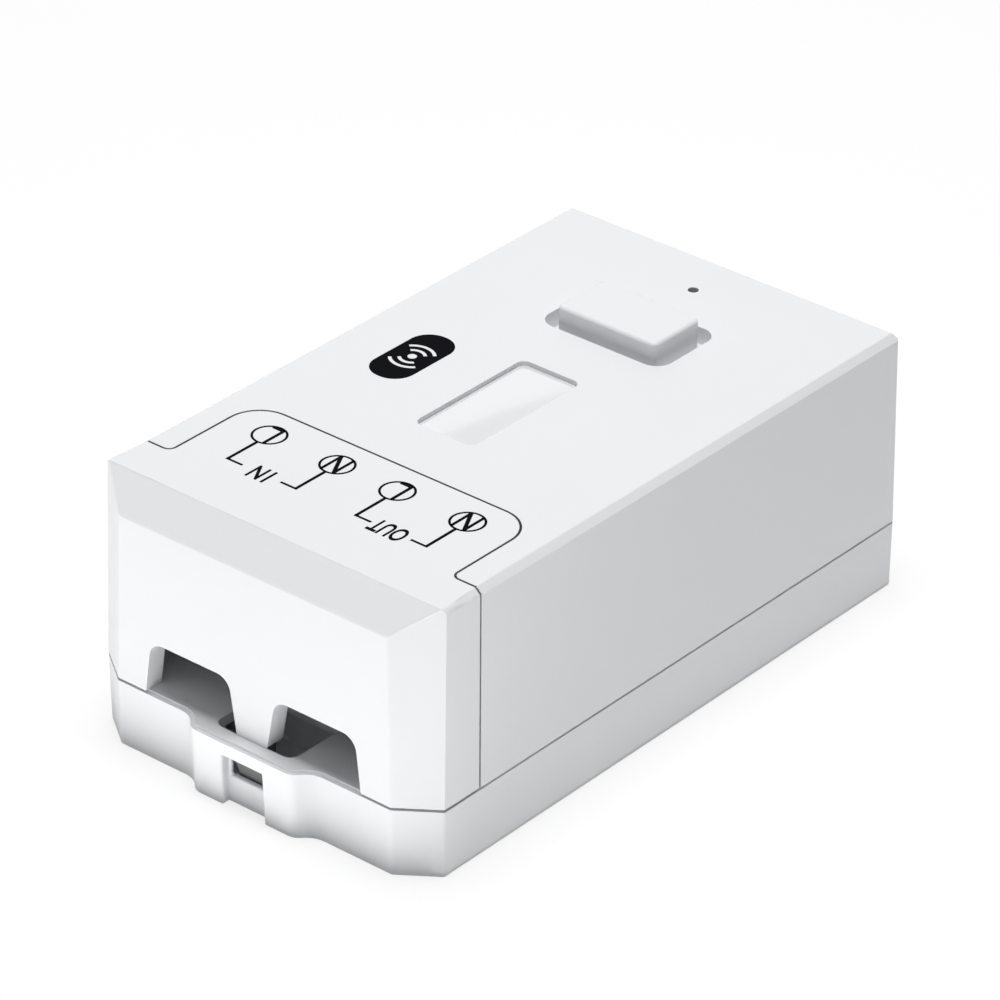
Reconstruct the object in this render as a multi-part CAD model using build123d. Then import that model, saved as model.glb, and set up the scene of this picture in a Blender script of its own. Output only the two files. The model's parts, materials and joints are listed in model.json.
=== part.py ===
"""Wireless in-line receiver with a clip-on terminal cover, all sizes in millimetres.

Working frame: x to the right, y from the cable end towards the back, z up from the underside.
The written solids are moved along y so that the origin is the middle of the underside.
"""
from build123d import *
import math
import os

# Outer shape
width = 50.0
length = 86.3
height = 34.2
rim_z = 8.6
land_rise = 0.3
side_lean = 0.3
back_lean = 0.65
foot_setback = 0.33
chamfer_x = 4.8
chamfer_y = 3.5
chamfer_top_ratio = 1.085
bevel_run = 3.5
bevel_drop = 3.68
edge_radius = 0.8
cutter_reach = 5.0
prism_sides = 12

# Walls
wall = 2.0
front_wall = 2.6
base_floor = 2.0
base_wall = 3.2
lip_height = 2.2
fit_gap = 0.15
seam = 0.3

# Bulged front of the base with its latch release
bulge_out = 2.0
bulge_foot_out = 1.75
bulge_half_flat = 6.5
bulge_corner_radius = 2.0
bulge_root_radius = 3.0
rim_land = 0.5
release_width = 6.0
release_depth = 1.45
release_top = 6.75
release_sill = 3.64
release_skin = 0.6
release_window = 5.4
deck_back = 12.6
deck_thickness = 1.5
well_width = 11.6
well_back = 8.6
well_radius = 1.3

# Terminal cover
cover_split = 9.475
tongue_inset = 4.45
tongue_back = 23.95
tongue_radius = 4.3
tongue_root_radius = 1.0
ledge = 1.2
ledge_depth = 1.2
rib_thickness = 1.0
rib_height = 1.0
notch_inner_foot = 2.25
notch_outer_foot = 15.95
notch_inner_top = 3.45
notch_outer_top = 15.05
notch_top = 15.75
notch_radius = 2.0
latch_width = 4.2
latch_thickness = 1.5
latch_end = 2.7
barb_reach = 0.65
barb_land = 1.1

# Indicator window
window_width = 8.65
window_length = 19.4
window_radius = 1.1
window_recess = 0.5
lens_flange = 1.2
lens_flange_thickness = 1.1
lens_gap = 0.05

# Button and its pocket
pocket_width = 18.1
pocket_length = 11.2
pocket_back = 20.6
pocket_radius = 2.2
pocket_depth = 2.2
pocket_floor = 1.4
pocket_wall = 1.2
button_width = 14.6
button_length = 8.6
button_radius = 0.8
button_edge = 0.45
button_stand = 2.1
button_wall = 1.2
button_top = 1.4
button_gap = 0.3
button_flange = 1.2
button_flange_thickness = 1.0
button_travel = 0.5
stem_radius = 1.8
stem_rib = 1.2
pinhole_radius = 0.65
pinhole_back = 8.3

# Tactile switches
switch_body = 6.2
switch_height = 3.5
switch_leg = (0.9, 0.7, 0.5)
switch_leg_spacing = 4.5
plunger_radius = 1.75
reset_plunger_stand = 1.5

# Boards
power_board_z = 5.0
power_board_thickness = 1.6
radio_board_top = 25.2
radio_board_thickness = 1.2
board_gap = 0.3
board_step = 12.9
radio_board_inset = 4.5
radio_board_front = 26.0
bulkhead_front = 23.0
bulkhead_thickness = 1.8

# Fasteners
case_post_inset = 6.6
case_post_back = 7.3
case_post_radius = 3.2
case_boss_radius = 3.6
case_post_foot = 8.2
case_screw_radius = 1.5
case_screw_length = 14.0
case_head_radius = 2.7
case_head_height = 2.0
case_counterbore = 3.0
cross_length = 3.0
cross_width = 0.8
cross_depth = 1.0
board_screw_radius = 1.1
board_head_radius = 2.1
board_head_height = 1.4
board_screw_length = 5.0
screw_tip_gap = 0.2
pilot_gap = 0.02
power_screw_inset = 5.8
power_screw_left_y = 56.0
power_screw_right_back = 21.7
power_rest_spots = ((-12.0, 26.6), (14.5, 26.6))
power_boss_radius = 2.2
radio_post_radius = 2.4
radio_screw_inset = 8.0
radio_screw_front_y = 29.6
radio_screw_back = 6.7
rest_size = (4.0, 2.0)

# Snap tabs that hold the front of the housing down in the base
snap_y = 33.0
snap_width = 6.0
snap_thickness = 1.4
snap_foot = 4.4
snap_barb = 0.7
snap_barb_top = 7.0
snap_barb_land = 0.8
snap_root = 3.0

# Screw terminals
inner_pole_x = 4.4
outer_pole_inset = 5.2
pole_y = 18.9
block_side_gap = 2.1
block_front = 13.0
block_back = 22.8
block_height = 18.6
block_web = 1.0
block_slope = 2.6
cage_width = 6.2
cage_depth = 6.0
cage_height = 9.0
cage_side = 0.8
cage_foot = 1.2
cage_lift = 2.5
cage_gap = 0.3
cage_travel = 3.6
wire_room = 4.4
bar_thickness = 1.2
bar_width = 4.2
bar_front = 14.9
leg_thickness = 0.8
leg_below_board = 1.2
wire_hole = 3.8
wire_mouth = 5.4
wire_mouth_depth = 1.2
screw_radius = 1.75
screw_bore_gap = 0.05
screw_head_radius = 2.4
screw_head_height = 1.8
screw_head_gap = 0.2
screw_seat_gap = 0.05
screw_slot = 0.9

# Parts on the power board
relay_size = (12.7, 29.0, 15.7)
relay_spot = (10.5, 47.7)
capacitor_size = (8.5, 18.0, 15.0)
capacitor_spot = (-12.8, 43.0)
core_size = (17.0, 6.0, 13.5)
core_lift = 1.5
core_leg = 2.0
core_yoke = 1.6
bobbin_size = (14.0, 15.0, 13.6)
bobbin_flange = 1.0
bobbin_rail = (14.0, 2.4, 2.6)
transformer_spot = (-6.5, 62.5)
main_can_spot = (-1.0, 48.0)
main_can_radius = 4.0
main_can_height = 12.0
front_can_inset = 8.4
front_can_y = 28.8
front_can_radius = 3.15
front_can_height = 11.0
varistor_radius = 5.0
varistor_thickness = 4.2
varistor_lift = 1.8
varistor_lead = 0.6
varistor_lead_x = 3.75
varistor_lead_y = 1.2
varistor_spot = (-9.0, 28.3)
fuse_radius = 4.0
fuse_height = 7.7
fuse_spot = (6.5, 29.0)
choke_radius = 4.0
choke_height = 9.5
choke_spot = (-1.6, 38.5)
header_pitch = 2.54
header_pins = 6
header_x = 9.8
header_back = 12.4
header_plastic = 2.5
pin_size = 0.64
pin_stand = 1.2

# Parts on the radio board
led_size = (2.8, 3.2, 1.9)
led_pitch = 6.45
led_count = 3
shroud_wall = 1.0
module_board_size = (12.0, 16.0, 1.0)
module_can_size = (10.4, 12.6, 2.2)
module_spot = (-13.2, 43.0)
chip_size = (7.0, 7.0, 1.2)
chip_spot = (12.0, 42.0)
antenna_radius = 0.45
antenna_sides = 6
antenna_bend = 1.6
antenna_rise = 4.0
antenna_foot = (-12.5, 54.5)
antenna_edge = (-18.8, 56.5)
antenna_corner_back = 13.8
antenna_tip_x = -11.0
antenna_tip_back = 11.9

# Levels and half sizes worked out from the sizes above
half = width / 2
tongue_half = half - tongue_inset
pocket_y = length - pocket_back
pinhole_y = length - pinhole_back
window_y = (tongue_back + pocket_y - pocket_length / 2) / 2
case_post_x = half - case_post_inset
case_post_y = length - case_post_back
power_screw_spots = (
    (-half + power_screw_inset, power_screw_left_y),
    (half - power_screw_inset, length - power_screw_right_back),
)
radio_board_half = half - radio_board_inset
radio_screw_x = radio_board_half - radio_screw_inset
radio_rear_y = length - radio_screw_back
radio_screw_spots = ((-radio_screw_x, radio_screw_front_y), (radio_screw_x, radio_rear_y))
radio_rest_spots = ((radio_screw_x, radio_screw_front_y), (-radio_screw_x, radio_rear_y))
block_half = half - base_wall - block_side_gap
outer_pole_x = block_half - outer_pole_inset
pole_xs = (-outer_pole_x, -inner_pole_x, inner_pole_x, outer_pole_x)
header_spot = (header_x, length - header_back)
shell_z = rim_z + land_rise
ceiling_z = height - wall
power_top = power_board_z + power_board_thickness
radio_under = radio_board_top - radio_board_thickness
front_to_middle = (length - bulge_out) / 2
pocket_floor_z = height - pocket_depth
pocket_under_z = pocket_floor_z - pocket_floor
lens_top = height - window_recess
lens_foot = ceiling_z - lens_flange_thickness
cage_z = power_top + cage_lift
bar_z = cage_z + cage_foot + wire_room
bar_top = bar_z + bar_thickness
nut_z = bar_top + screw_bore_gap
cavity_top = cage_z + cage_height + cage_travel + cage_gap
block_top = power_top + block_height
screw_head_z = cavity_top + block_web + screw_seat_gap


def box(x_range, y_range, z_range):
    """Box between two limits on each axis."""
    lows = [min(r) for r in (x_range, y_range, z_range)]
    sizes = [abs(r[1] - r[0]) for r in (x_range, y_range, z_range)]
    return Pos(*lows) * Box(*sizes, align=(Align.MIN, Align.MIN, Align.MIN))


def post(x, y, radius, z_low, z_high):
    """Round post or hole along z."""
    foot = (Align.CENTER, Align.CENTER, Align.MIN)
    return Pos(x, y, z_low) * Cylinder(radius, z_high - z_low, align=foot)


def prism(x, y, radius, z_low, z_high):
    """Many-sided post along z that fits inside the radius, for screw shanks with the thread left out."""
    return Pos(x, y, z_low) * extrude(RegularPolygon(radius, prism_sides), z_high - z_low)


def block_on(spot, size, z):
    """Box of the given size that stands on level z, centred on the spot."""
    foot = (Align.CENTER, Align.CENTER, Align.MIN)
    return Pos(spot[0], spot[1], z) * Box(*size, align=foot)


def rounded_plate(x_size, y_size, radius, y_mid, z_low, z_high):
    """Plate with rounded corners, centred on the plane x = 0."""
    return Pos(0, y_mid, z_low) * extrude(RectangleRounded(x_size, y_size, radius), z_high - z_low)


def shell_limits(z):
    """Half width and back of the upper shells at height z, where the walls lean in a little."""
    share = (z - shell_z) / (height - shell_z)
    return half - side_lean * share, length - back_lean * share


def shell_outline(z, inset):
    """Plan rectangle of the upper shells at height z, smaller all round by the inset."""
    side, back = shell_limits(z)
    corners = [(-side + inset, inset), (side - inset, inset), (side - inset, back - inset)]
    corners += [(-side + inset, back - inset)]
    return Pos(0, 0, z) * make_face(Polyline(*corners, close=True))


def corner_wedges(inset):
    """Pair of wedges that cut the corners at the cable end, moved inwards by the inset."""
    faces = []
    for z in (shell_z - 1, height + 1):
        share = (z - shell_z) / (height - shell_z)
        side = shell_limits(z)[0]
        cut = 1 + (chamfer_top_ratio - 1) * share
        cut += inset * math.hypot(chamfer_x, chamfer_y) / (chamfer_x * chamfer_y)
        run_x = chamfer_x * cut
        run_y = chamfer_y * cut
        corners = [(side + run_x, 2 * run_y), (side - 2 * run_x, -run_y), (side + run_x, -run_y)]
        faces.append(Pos(0, 0, z) * make_face(Polyline(*corners, close=True)))
    wedge = loft(faces, ruled=True)
    return wedge + mirror(wedge, Plane.YZ)


def bevel_cutter(setback):
    """Wedge that cuts the sloping top edge over the cable end, moved back for the inner face."""
    reach = 3.0
    low = (setback - bevel_run * reach, height - bevel_drop * (1 + reach))
    high = (setback + bevel_run * (1 + reach), height + bevel_drop * reach)
    far = (low[0], high[1])
    wedge = Plane.YZ * make_face(Polyline(low, high, far, close=True))
    return extrude(wedge, half + cutter_reach, both=True)


def upper_envelope():
    """Outer form shared by the upper housing and the terminal cover."""
    body = loft([shell_outline(shell_z, 0), shell_outline(height, 0)], ruled=True)
    top = body.faces().sort_by(Axis.Z)[-1]
    rounded = top.edges().filter_by(lambda e: e.center().Y > 1)
    rounded += body.edges().filter_by(lambda e: e.center().Y > length - 1 and abs(e.tangent_at(0.5).Z) > 0.9)
    return fillet(rounded, edge_radius) - corner_wedges(0) - bevel_cutter(0)


def upper_void():
    """Inner form that hollows the upper shells, one wall inside the envelope."""
    inner = loft([shell_outline(shell_z - 1, wall), shell_outline(height, wall)], ruled=True)
    inner = inner & box((-half, half), (front_wall, length), (shell_z - 1, ceiling_z))
    slope = math.hypot(bevel_run, bevel_drop)
    return inner - corner_wedges(wall) - bevel_cutter(wall * slope / bevel_drop)


def cover_plan(gap):
    """Plan outline of the terminal cover with its tongue, grown by the gap."""
    x_tongue = tongue_half + gap
    y_split = cover_split + gap
    y_back = tongue_back + gap
    x_far = half + cutter_reach
    y_near = -cutter_reach
    corners = [(-x_far, y_near), (x_far, y_near), (x_far, y_split), (x_tongue, y_split), (x_tongue, y_back)]
    corners += [(-x_tongue, y_back), (-x_tongue, y_split), (-x_far, y_split)]
    face = make_face(Polyline(*corners, close=True))
    back_corners = face.vertices().filter_by(lambda v: v.Y > y_back - 0.1)
    face = fillet(back_corners, tongue_radius + gap)
    if gap > tongue_root_radius - 0.1:
        return face
    roots = face.vertices().filter_by(lambda v: abs(v.Y - y_split) < 0.1 and abs(v.X) < half)
    return fillet(roots, tongue_root_radius - gap)


def tongue_ring(outer_gap, inner_gap, z_low, z_high):
    """Ring that follows the tongue's edge under the top, behind the split line."""
    ring = extrude(cover_plan(outer_gap), z_high - z_low) - extrude(cover_plan(inner_gap), z_high - z_low)
    keep = box((-half + wall, half - wall), (cover_split + wall, length), (-1, height))
    return Pos(0, 0, z_low) * (ring & keep)


def notch_face():
    """Outline of one cable notch on the front, narrower at the top, open at the bottom."""
    foot = shell_z - 1
    corners = [(notch_inner_foot, foot), (notch_inner_foot, shell_z), (notch_inner_top, notch_top)]
    corners += [(notch_outer_top, notch_top), (notch_outer_foot, shell_z), (notch_outer_foot, foot)]
    face = make_face(Polyline(*corners, close=True))
    tops = face.vertices().filter_by(lambda v: v.Y > notch_top - 0.1)
    return fillet(tops, notch_radius)


def terminal_cover():
    """Clip-on cap over the terminals, with the tongue that reaches back over the screws."""
    plan = extrude(cover_plan(-seam / 2), height + cutter_reach)
    cap = (upper_envelope() & plan) - upper_void()
    notch = extrude(Plane.XZ * notch_face(), front_wall + cutter_reach, both=True)
    cap = cap - notch - mirror(notch, Plane.YZ)
    rib_gap = seam / 2 - ledge - fit_gap
    rib = tongue_ring(rib_gap, rib_gap - rib_thickness, ceiling_z - rib_height, ceiling_z + 0.1)
    return cap + rib


def cover_latch():
    """Snap tongue under the cover's middle post, with the barb that catches in the window."""
    front = 0.1 + fit_gap
    back = front + latch_thickness
    barb_front = front - barb_reach
    barb_top = release_top - fit_gap
    profile = [(front, shell_z), (back, shell_z), (back, latch_end), (front, latch_end)]
    profile += [(front, release_sill + fit_gap)]
    profile += [(barb_front, barb_top - barb_land), (barb_front, barb_top), (front, barb_top)]
    side = Plane.YZ * make_face(Polyline(*profile, close=True))
    return extrude(side, latch_width / 2, both=True)


def base_outline(z, inset):
    """Plan outline of the base at height z, with the S-curved bulge at the cable end."""
    share = z / rim_z
    front = foot_setback * (1 - share)
    out = bulge_foot_out + (bulge_out - bulge_foot_out) * share
    bend = bulge_corner_radius + bulge_root_radius
    turn = math.acos(1 - out / bend)
    root_x = bulge_half_flat + bend * math.sin(turn)
    mid_x = root_x - bulge_root_radius * math.sin(turn)
    mid_y = front - bulge_root_radius * (1 - math.cos(turn))
    slope = (math.cos(turn), -math.sin(turn))
    rise = (math.cos(turn), math.sin(turn))
    left_far = Line((-half, length), (-half, chamfer_y + front))
    left_cut = Line(left_far @ 1, (-half + chamfer_x, front))
    left_flat = Line(left_cut @ 1, (-root_x, front))
    left_root = TangentArc(left_flat @ 1, (-mid_x, mid_y), tangent=(1, 0))
    left_nose = TangentArc(left_root @ 1, (-bulge_half_flat, front - out), tangent=slope)
    nose = Line(left_nose @ 1, (bulge_half_flat, front - out))
    right_nose = TangentArc(nose @ 1, (mid_x, mid_y), tangent=(1, 0))
    right_root = TangentArc(right_nose @ 1, (root_x, front), tangent=rise)
    right_flat = Line(right_root @ 1, (half - chamfer_x, front))
    right_cut = Line(right_flat @ 1, (half, chamfer_y + front))
    right_far = Line(right_cut @ 1, (half, length))
    closing = Line(right_far @ 1, left_far @ 0)
    edges = [left_far, left_cut, left_flat, left_root, left_nose, nose, right_nose, right_root]
    edges += [right_flat, right_cut, right_far, closing]
    face = make_face(edges)
    if inset > 0:
        face = offset(face, -inset, kind=Kind.INTERSECTION)
    return Pos(0, 0, z) * face


def base_tray():
    """Lower shell with the deck under the cable entries, the latch well and the screw bosses."""
    tray = loft([base_outline(0, 0), base_outline(rim_z, 0)], ruled=True)
    back_corners = tray.edges().filter_by(
        lambda e: abs(e.center().X) > half - 1 and e.center().Y > length - 1 and abs(e.tangent_at(0.5).Z) > 0.9
    )
    tray = fillet(back_corners, edge_radius)
    raised = Pos(0, 0, -0.1) * extrude(base_outline(rim_z, rim_land), land_rise + 0.1)
    tray = tray + raised
    inner_x = half - base_wall
    inner_back = length - base_wall
    tray = tray - box((-inner_x, inner_x), (deck_back, inner_back), (base_floor, shell_z + 1))
    deck_under = shell_z - deck_thickness
    cell_back = deck_back - deck_thickness
    cell_x = half - base_wall - chamfer_x + wall
    tray = tray - box((-cell_x, cell_x), (wall + foot_setback, cell_back), (base_floor, deck_under))
    tray = tray + locating_lip()
    tray = tray - latch_well() - release_cut() - snap_pockets()
    for x in (-case_post_x, case_post_x):
        tray = tray + post(x, case_post_y, case_boss_radius, 0, case_post_foot - 0.2)
        tray = tray - post(x, case_post_y, case_screw_radius + 0.2, -1, case_post_foot)
        tray = tray - post(x, case_post_y, case_head_radius + 0.3, -1, case_counterbore)
    for x, y in power_screw_spots:
        boss = (2 * power_boss_radius, 2 * power_boss_radius, power_board_z - base_floor + 0.1)
        tray = tray + block_on((x, y), boss, base_floor - 0.1)
        tray = tray - post(x, y, board_screw_radius, base_floor, power_board_z + 1)
    for spot in power_rest_spots:
        tray = tray + block_on(spot, (*rest_size, power_board_z - base_floor + 0.1), base_floor - 0.1)
    return tray


def locating_lip():
    """Lip on the base that stands inside the housing's walls and keeps the shells in line."""
    outer_x = half - wall - fit_gap - side_lean * lip_height / height
    inner_x = half - base_wall
    outer_back = length - wall - fit_gap - back_lean * lip_height / height
    inner_back = length - base_wall
    front = bulkhead_front + bulkhead_thickness + 1.2
    z_range = (rim_z - 1, shell_z + lip_height)
    lip = box((-outer_x, outer_x), (front, outer_back), z_range)
    return lip - box((-inner_x, inner_x), (front - 1, inner_back), (rim_z - 2, height))


def snap_face():
    """Outer face of the snap tabs, just inside the base's side walls."""
    return half - base_wall - fit_gap


def snap_pockets():
    """Pockets in the base's side walls that the housing's snap tabs catch in."""
    x_range = (snap_face(), snap_face() + snap_barb + 2 * fit_gap)
    y_range = (snap_y - snap_width / 2 - seam, snap_y + snap_width / 2 + seam)
    pocket = box(x_range, y_range, (snap_foot - seam, snap_barb_top + fit_gap))
    return pocket + mirror(pocket, Plane.YZ)


def snap_tabs():
    """Tabs that hang from the housing's side walls over the base's lip, each with a barb at its foot."""
    face = snap_face()
    root_z = shell_z + lip_height + seam
    profile = [(face, snap_foot), (face + snap_barb, snap_barb_top - snap_barb_land)]
    profile += [(face + snap_barb, snap_barb_top), (face, snap_barb_top), (face, root_z)]
    profile += [(half - wall / 2, root_z), (half - wall / 2, root_z + snap_root)]
    profile += [(face - snap_thickness, root_z + snap_root), (face - snap_thickness, snap_foot)]
    section = Pos(0, snap_y, 0) * (Plane.XZ * make_face(Polyline(*profile, close=True)))
    tab = extrude(section, snap_width / 2, both=True)
    return tab + mirror(tab, Plane.YZ)


def latch_well():
    """Rounded opening in the deck that the cover's snap tongue goes down."""
    y_size = well_back - 0.1
    opening = rounded_plate(well_width, y_size, well_radius, 0.1 + y_size / 2, base_floor, shell_z + 1)
    return opening


def release_cut():
    """Recess in the bulge with the window where a screwdriver presses the barb back."""
    skin_front = 0.1 - release_skin
    x_range = (-release_width / 2, release_width / 2)
    recess = box(x_range, (-bulge_out - 1, skin_front), (-1, release_top))
    window_x = (-release_window / 2, release_window / 2)
    window = box(window_x, (skin_front - 1, 1.0), (release_sill, release_top))
    return recess + window


def upper_housing():
    """Upper shell with the tongue opening, bulkhead, window, button pocket, pinhole and posts."""
    opening = extrude(cover_plan(seam / 2), height + cutter_reach)
    shell = upper_envelope() - opening - upper_void()
    shell = shell + bulkhead()
    shell = shell + tongue_ring(seam / 2 + ledge, seam / 2 - ledge, ceiling_z - ledge_depth, ceiling_z)
    shell = shell + tongue_ring(seam / 2 + ledge, seam / 2, ceiling_z - 0.2, ceiling_z + 0.2)
    rim = (pocket_width + 2 * pocket_wall, pocket_length + 2 * pocket_wall, ceiling_z + 0.1 - pocket_under_z)
    shell = shell + block_on((0, pocket_y), rim, pocket_under_z)
    shell = shell + snap_tabs()
    for x in (-case_post_x, case_post_x):
        shell = shell + post(x, case_post_y, case_post_radius, case_post_foot, ceiling_z + 0.1)
        pilot_top = case_counterbore + case_screw_length + 0.5
        shell = shell - post(x, case_post_y, case_screw_radius, case_post_foot - 1, pilot_top)
    for x, y in radio_screw_spots:
        boss = (2 * radio_post_radius, 2 * radio_post_radius, ceiling_z + 0.1 - radio_board_top)
        shell = shell + block_on((x, y), boss, radio_board_top)
        pilot_top = radio_under + board_screw_length + 0.5
        shell = shell - post(x, y, board_screw_radius, radio_board_top - 1, pilot_top)
    for spot in radio_rest_spots:
        shell = shell + block_on(spot, (*rest_size, ceiling_z - radio_board_top + 0.1), radio_board_top)
    shell = shell - rounded_plate(pocket_width, pocket_length, pocket_radius, pocket_y, pocket_floor_z, height + 1)
    hole_x = button_width + 2 * button_gap
    hole_y = button_length + 2 * button_gap
    shell = shell - rounded_plate(hole_x, hole_y, button_radius + button_gap, pocket_y, pocket_under_z - 1, height)
    shell = shell - rounded_plate(window_width, window_length, window_radius, window_y, ceiling_z - 1, height + 1)
    return shell - post(0, pinhole_y, pinhole_radius, ceiling_z - 1, height + 1)


def bulkhead():
    """Wall between the terminal compartment and the electronics, and the tongue's back rest."""
    y_back = bulkhead_front + bulkhead_thickness
    inner_x = half - wall + side_lean
    plate = box((-inner_x, inner_x), (bulkhead_front, y_back), (shell_z, ceiling_z))
    head = box((-inner_x, inner_x), (tongue_back + seam / 2, y_back), (ceiling_z - 1, ceiling_z + 0.1))
    skirt_x = half - base_wall - board_gap
    skirt = box((-skirt_x, skirt_x), (bulkhead_front, y_back), (power_top + board_gap, shell_z + 0.1))
    return plate + head + skirt


def window_lens():
    """Indicator window that fills the opening in the top, with a flange under the wall."""
    x_size = window_width - 2 * lens_gap
    y_size = window_length - 2 * lens_gap
    body = rounded_plate(x_size, y_size, window_radius - lens_gap, window_y, lens_foot, lens_top)
    x_flange = window_width + 2 * lens_flange
    y_flange = window_length + 2 * lens_flange
    flange = rounded_plate(x_flange, y_flange, window_radius, window_y, lens_foot, ceiling_z)
    return body + flange


def push_button():
    """Hollow button with a flange under the pocket's floor and a cross-ribbed stem over the switch."""
    top = height + button_stand
    flange_top = pocket_under_z - 0.1
    foot = flange_top - button_flange_thickness
    body = rounded_plate(button_width, button_length, button_radius, pocket_y, foot, top)
    body = fillet(body.faces().sort_by(Axis.Z)[-1].edges(), button_edge)
    x_flange = button_width + 2 * button_flange
    y_flange = button_length + 2 * button_flange
    body = body + rounded_plate(x_flange, y_flange, button_radius, pocket_y, foot, flange_top)
    hollow = (button_width - 2 * button_wall, button_length - 2 * button_wall, top - button_top - foot + 1)
    body = body - block_on((0, pocket_y), hollow, foot - 1)
    stem_height = top - button_top + 0.1 - plunger_top()
    for rib in ((2 * stem_radius, stem_rib), (stem_rib, 2 * stem_radius)):
        body = body + block_on((0, pocket_y), (*rib, stem_height), plunger_top())
    return body


def plunger_top():
    """Height of the button switch's plunger, a little under the pocket's floor."""
    return pocket_under_z + 0.3


def switch_can(y):
    """Square tactile switch with its cover plate, and a hole for the plunger."""
    can = block_on((0, y), (switch_body, switch_body, switch_height - 0.3), radio_board_top)
    plate = block_on((0, y), (switch_body - 0.4, switch_body - 0.4, 0.4), radio_board_top + switch_height - 0.4)
    legs = Part() + [
        block_on((x, y + y_leg), switch_leg, radio_board_top)
        for x in (-switch_body / 2 - 0.3, switch_body / 2 + 0.3)
        for y_leg in (-switch_leg_spacing / 2, switch_leg_spacing / 2)
    ]
    bore = post(0, y, plunger_radius + 0.05, radio_board_top + 1.2, height)
    return can + plate + legs - bore


def button_plunger():
    """Plunger of the switch under the button."""
    low = radio_board_top + 1.2 + button_travel + 0.1
    return post(0, pocket_y, plunger_radius, low, plunger_top())


def reset_plunger():
    """Plunger of the switch under the pinhole."""
    low = radio_board_top + 1.2 + button_travel + 0.1
    high = radio_board_top + switch_height + reset_plunger_stand
    return post(0, pinhole_y, plunger_radius, low, high)


def post_notch(side, radius):
    """Cut round a case post that stays open to the board's back corner on that side."""
    x = side * case_post_x
    notch = post(x, case_post_y, radius, 0, height)
    notch = notch + box((x, side * half), (case_post_y - radius, length), (0, height))
    return notch + box((x - side * radius, side * half), (case_post_y, length), (0, height))


def power_board():
    """Lower board, cut round the screw posts and slotted for the terminal legs and pins."""
    x_half = half - base_wall - board_gap
    y_back = length - base_wall - board_gap
    board = box((-x_half, x_half), (board_step, y_back), (power_board_z, power_top))
    for side in (-1, 1):
        board = board - post_notch(side, case_boss_radius + board_gap)
        x_range = (side * (snap_face() - snap_thickness - board_gap), side * half)
        y_range = (snap_y - snap_width / 2 - board_gap, snap_y + snap_width / 2 + board_gap)
        board = board - box(x_range, y_range, (0, height))
    for x, y in power_screw_spots:
        board = board - post(x, y, board_screw_radius + 0.1, 0, height)
    for x in pole_xs:
        x_range = (x - bar_width / 2 - 0.1, x + bar_width / 2 + 0.1)
        board = board - box(x_range, (leg_front() - 0.1, leg_front() + leg_thickness + 0.1), (0, height))
    for spot in pin_spots():
        board = board - block_on(spot, (pin_size + 0.1, pin_size + 0.1, height), 0)
    return board


def radio_board():
    """Upper board under the housing's top, cut round the case posts."""
    y_back = length - base_wall - board_gap
    x_range = (-radio_board_half, radio_board_half)
    board = box(x_range, (radio_board_front, y_back), (radio_under, radio_board_top))
    for side in (-1, 1):
        board = board - post_notch(side, case_post_radius + board_gap)
    for x, y in radio_screw_spots:
        board = board - post(x, y, board_screw_radius + 0.1, 0, height)
    for spot in pin_spots():
        board = board - block_on(spot, (pin_size + 0.1, pin_size + 0.1, height), 0)
    return board


def pin_spots():
    """Places of the header pins that join the two boards."""
    first = header_spot[0] - header_pitch * (header_pins - 1) / 2
    return [(first + header_pitch * i, header_spot[1]) for i in range(header_pins)]


def board_header():
    """Stand-off header with a plastic bar on the lower board and long square pins."""
    bar_size = (header_pitch * header_pins, header_pitch, header_plastic)
    header = block_on(header_spot, bar_size, power_top)
    low = power_board_z - pin_stand
    high = radio_board_top + pin_stand
    for spot in pin_spots():
        header = header + block_on(spot, (pin_size, pin_size, high - low), low)
    return header


def leg_front():
    """Front face of the contact legs, just behind the clamp cages."""
    return pole_y + cage_depth / 2 + 0.05


def terminal_block():
    """Four-way screw terminal body, open at the back where the clamps and screws are pushed in."""
    body = box((-block_half, block_half), (block_front, block_back), (power_top, block_top))
    front_top = body.edges().filter_by(Axis.X).group_by(Axis.Z)[-1].sort_by(Axis.Y)[0]
    body = chamfer(front_top, block_slope)
    cavity_x = cage_width / 2 + cage_gap
    cavity_front = pole_y - cage_depth / 2 - cage_gap
    for x in pole_xs:
        x_cavity = (x - cavity_x, x + cavity_x)
        body = body - box(x_cavity, (cavity_front, block_back + 1), (cage_z - 0.2, cavity_top))
        slot = screw_radius + screw_head_gap
        z_web = (cavity_top - 1, cavity_top + block_web)
        body = body - box((x - slot, x + slot), (pole_y - slot, block_back + 1), z_web)
        head_pocket = screw_head_radius + screw_head_gap
        body = body - post(x, pole_y, head_pocket, cavity_top + block_web, block_top + 1)
        x_bar = (x - bar_width / 2 - 0.1, x + bar_width / 2 + 0.1)
        body = body - box(x_bar, (bar_front - 0.1, cavity_front + 1), (bar_z - 0.05, bar_top + 0.05))
        body = body - box(x_bar, (leg_front() - 0.1, block_back + 1), (power_top - 1, cage_z))
        body = body - wire_entry(x, cavity_front)
    return body


def wire_entry(x, cavity_front):
    """Square wire hole with a tapered mouth on the block's front."""
    wire_z = cage_z + cage_foot + wire_room / 2
    reach = wire_hole / 2
    hole = box((x - reach, x + reach), (block_front, cavity_front + 1), (wire_z - reach, wire_z + reach))
    mouth = [
        Pos(x, y, wire_z) * (Plane.XZ * Rectangle(size, size))
        for y, size in ((block_front, wire_mouth), (block_front + wire_mouth_depth, wire_hole))
    ]
    return hole + loft(mouth, ruled=True)


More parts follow.
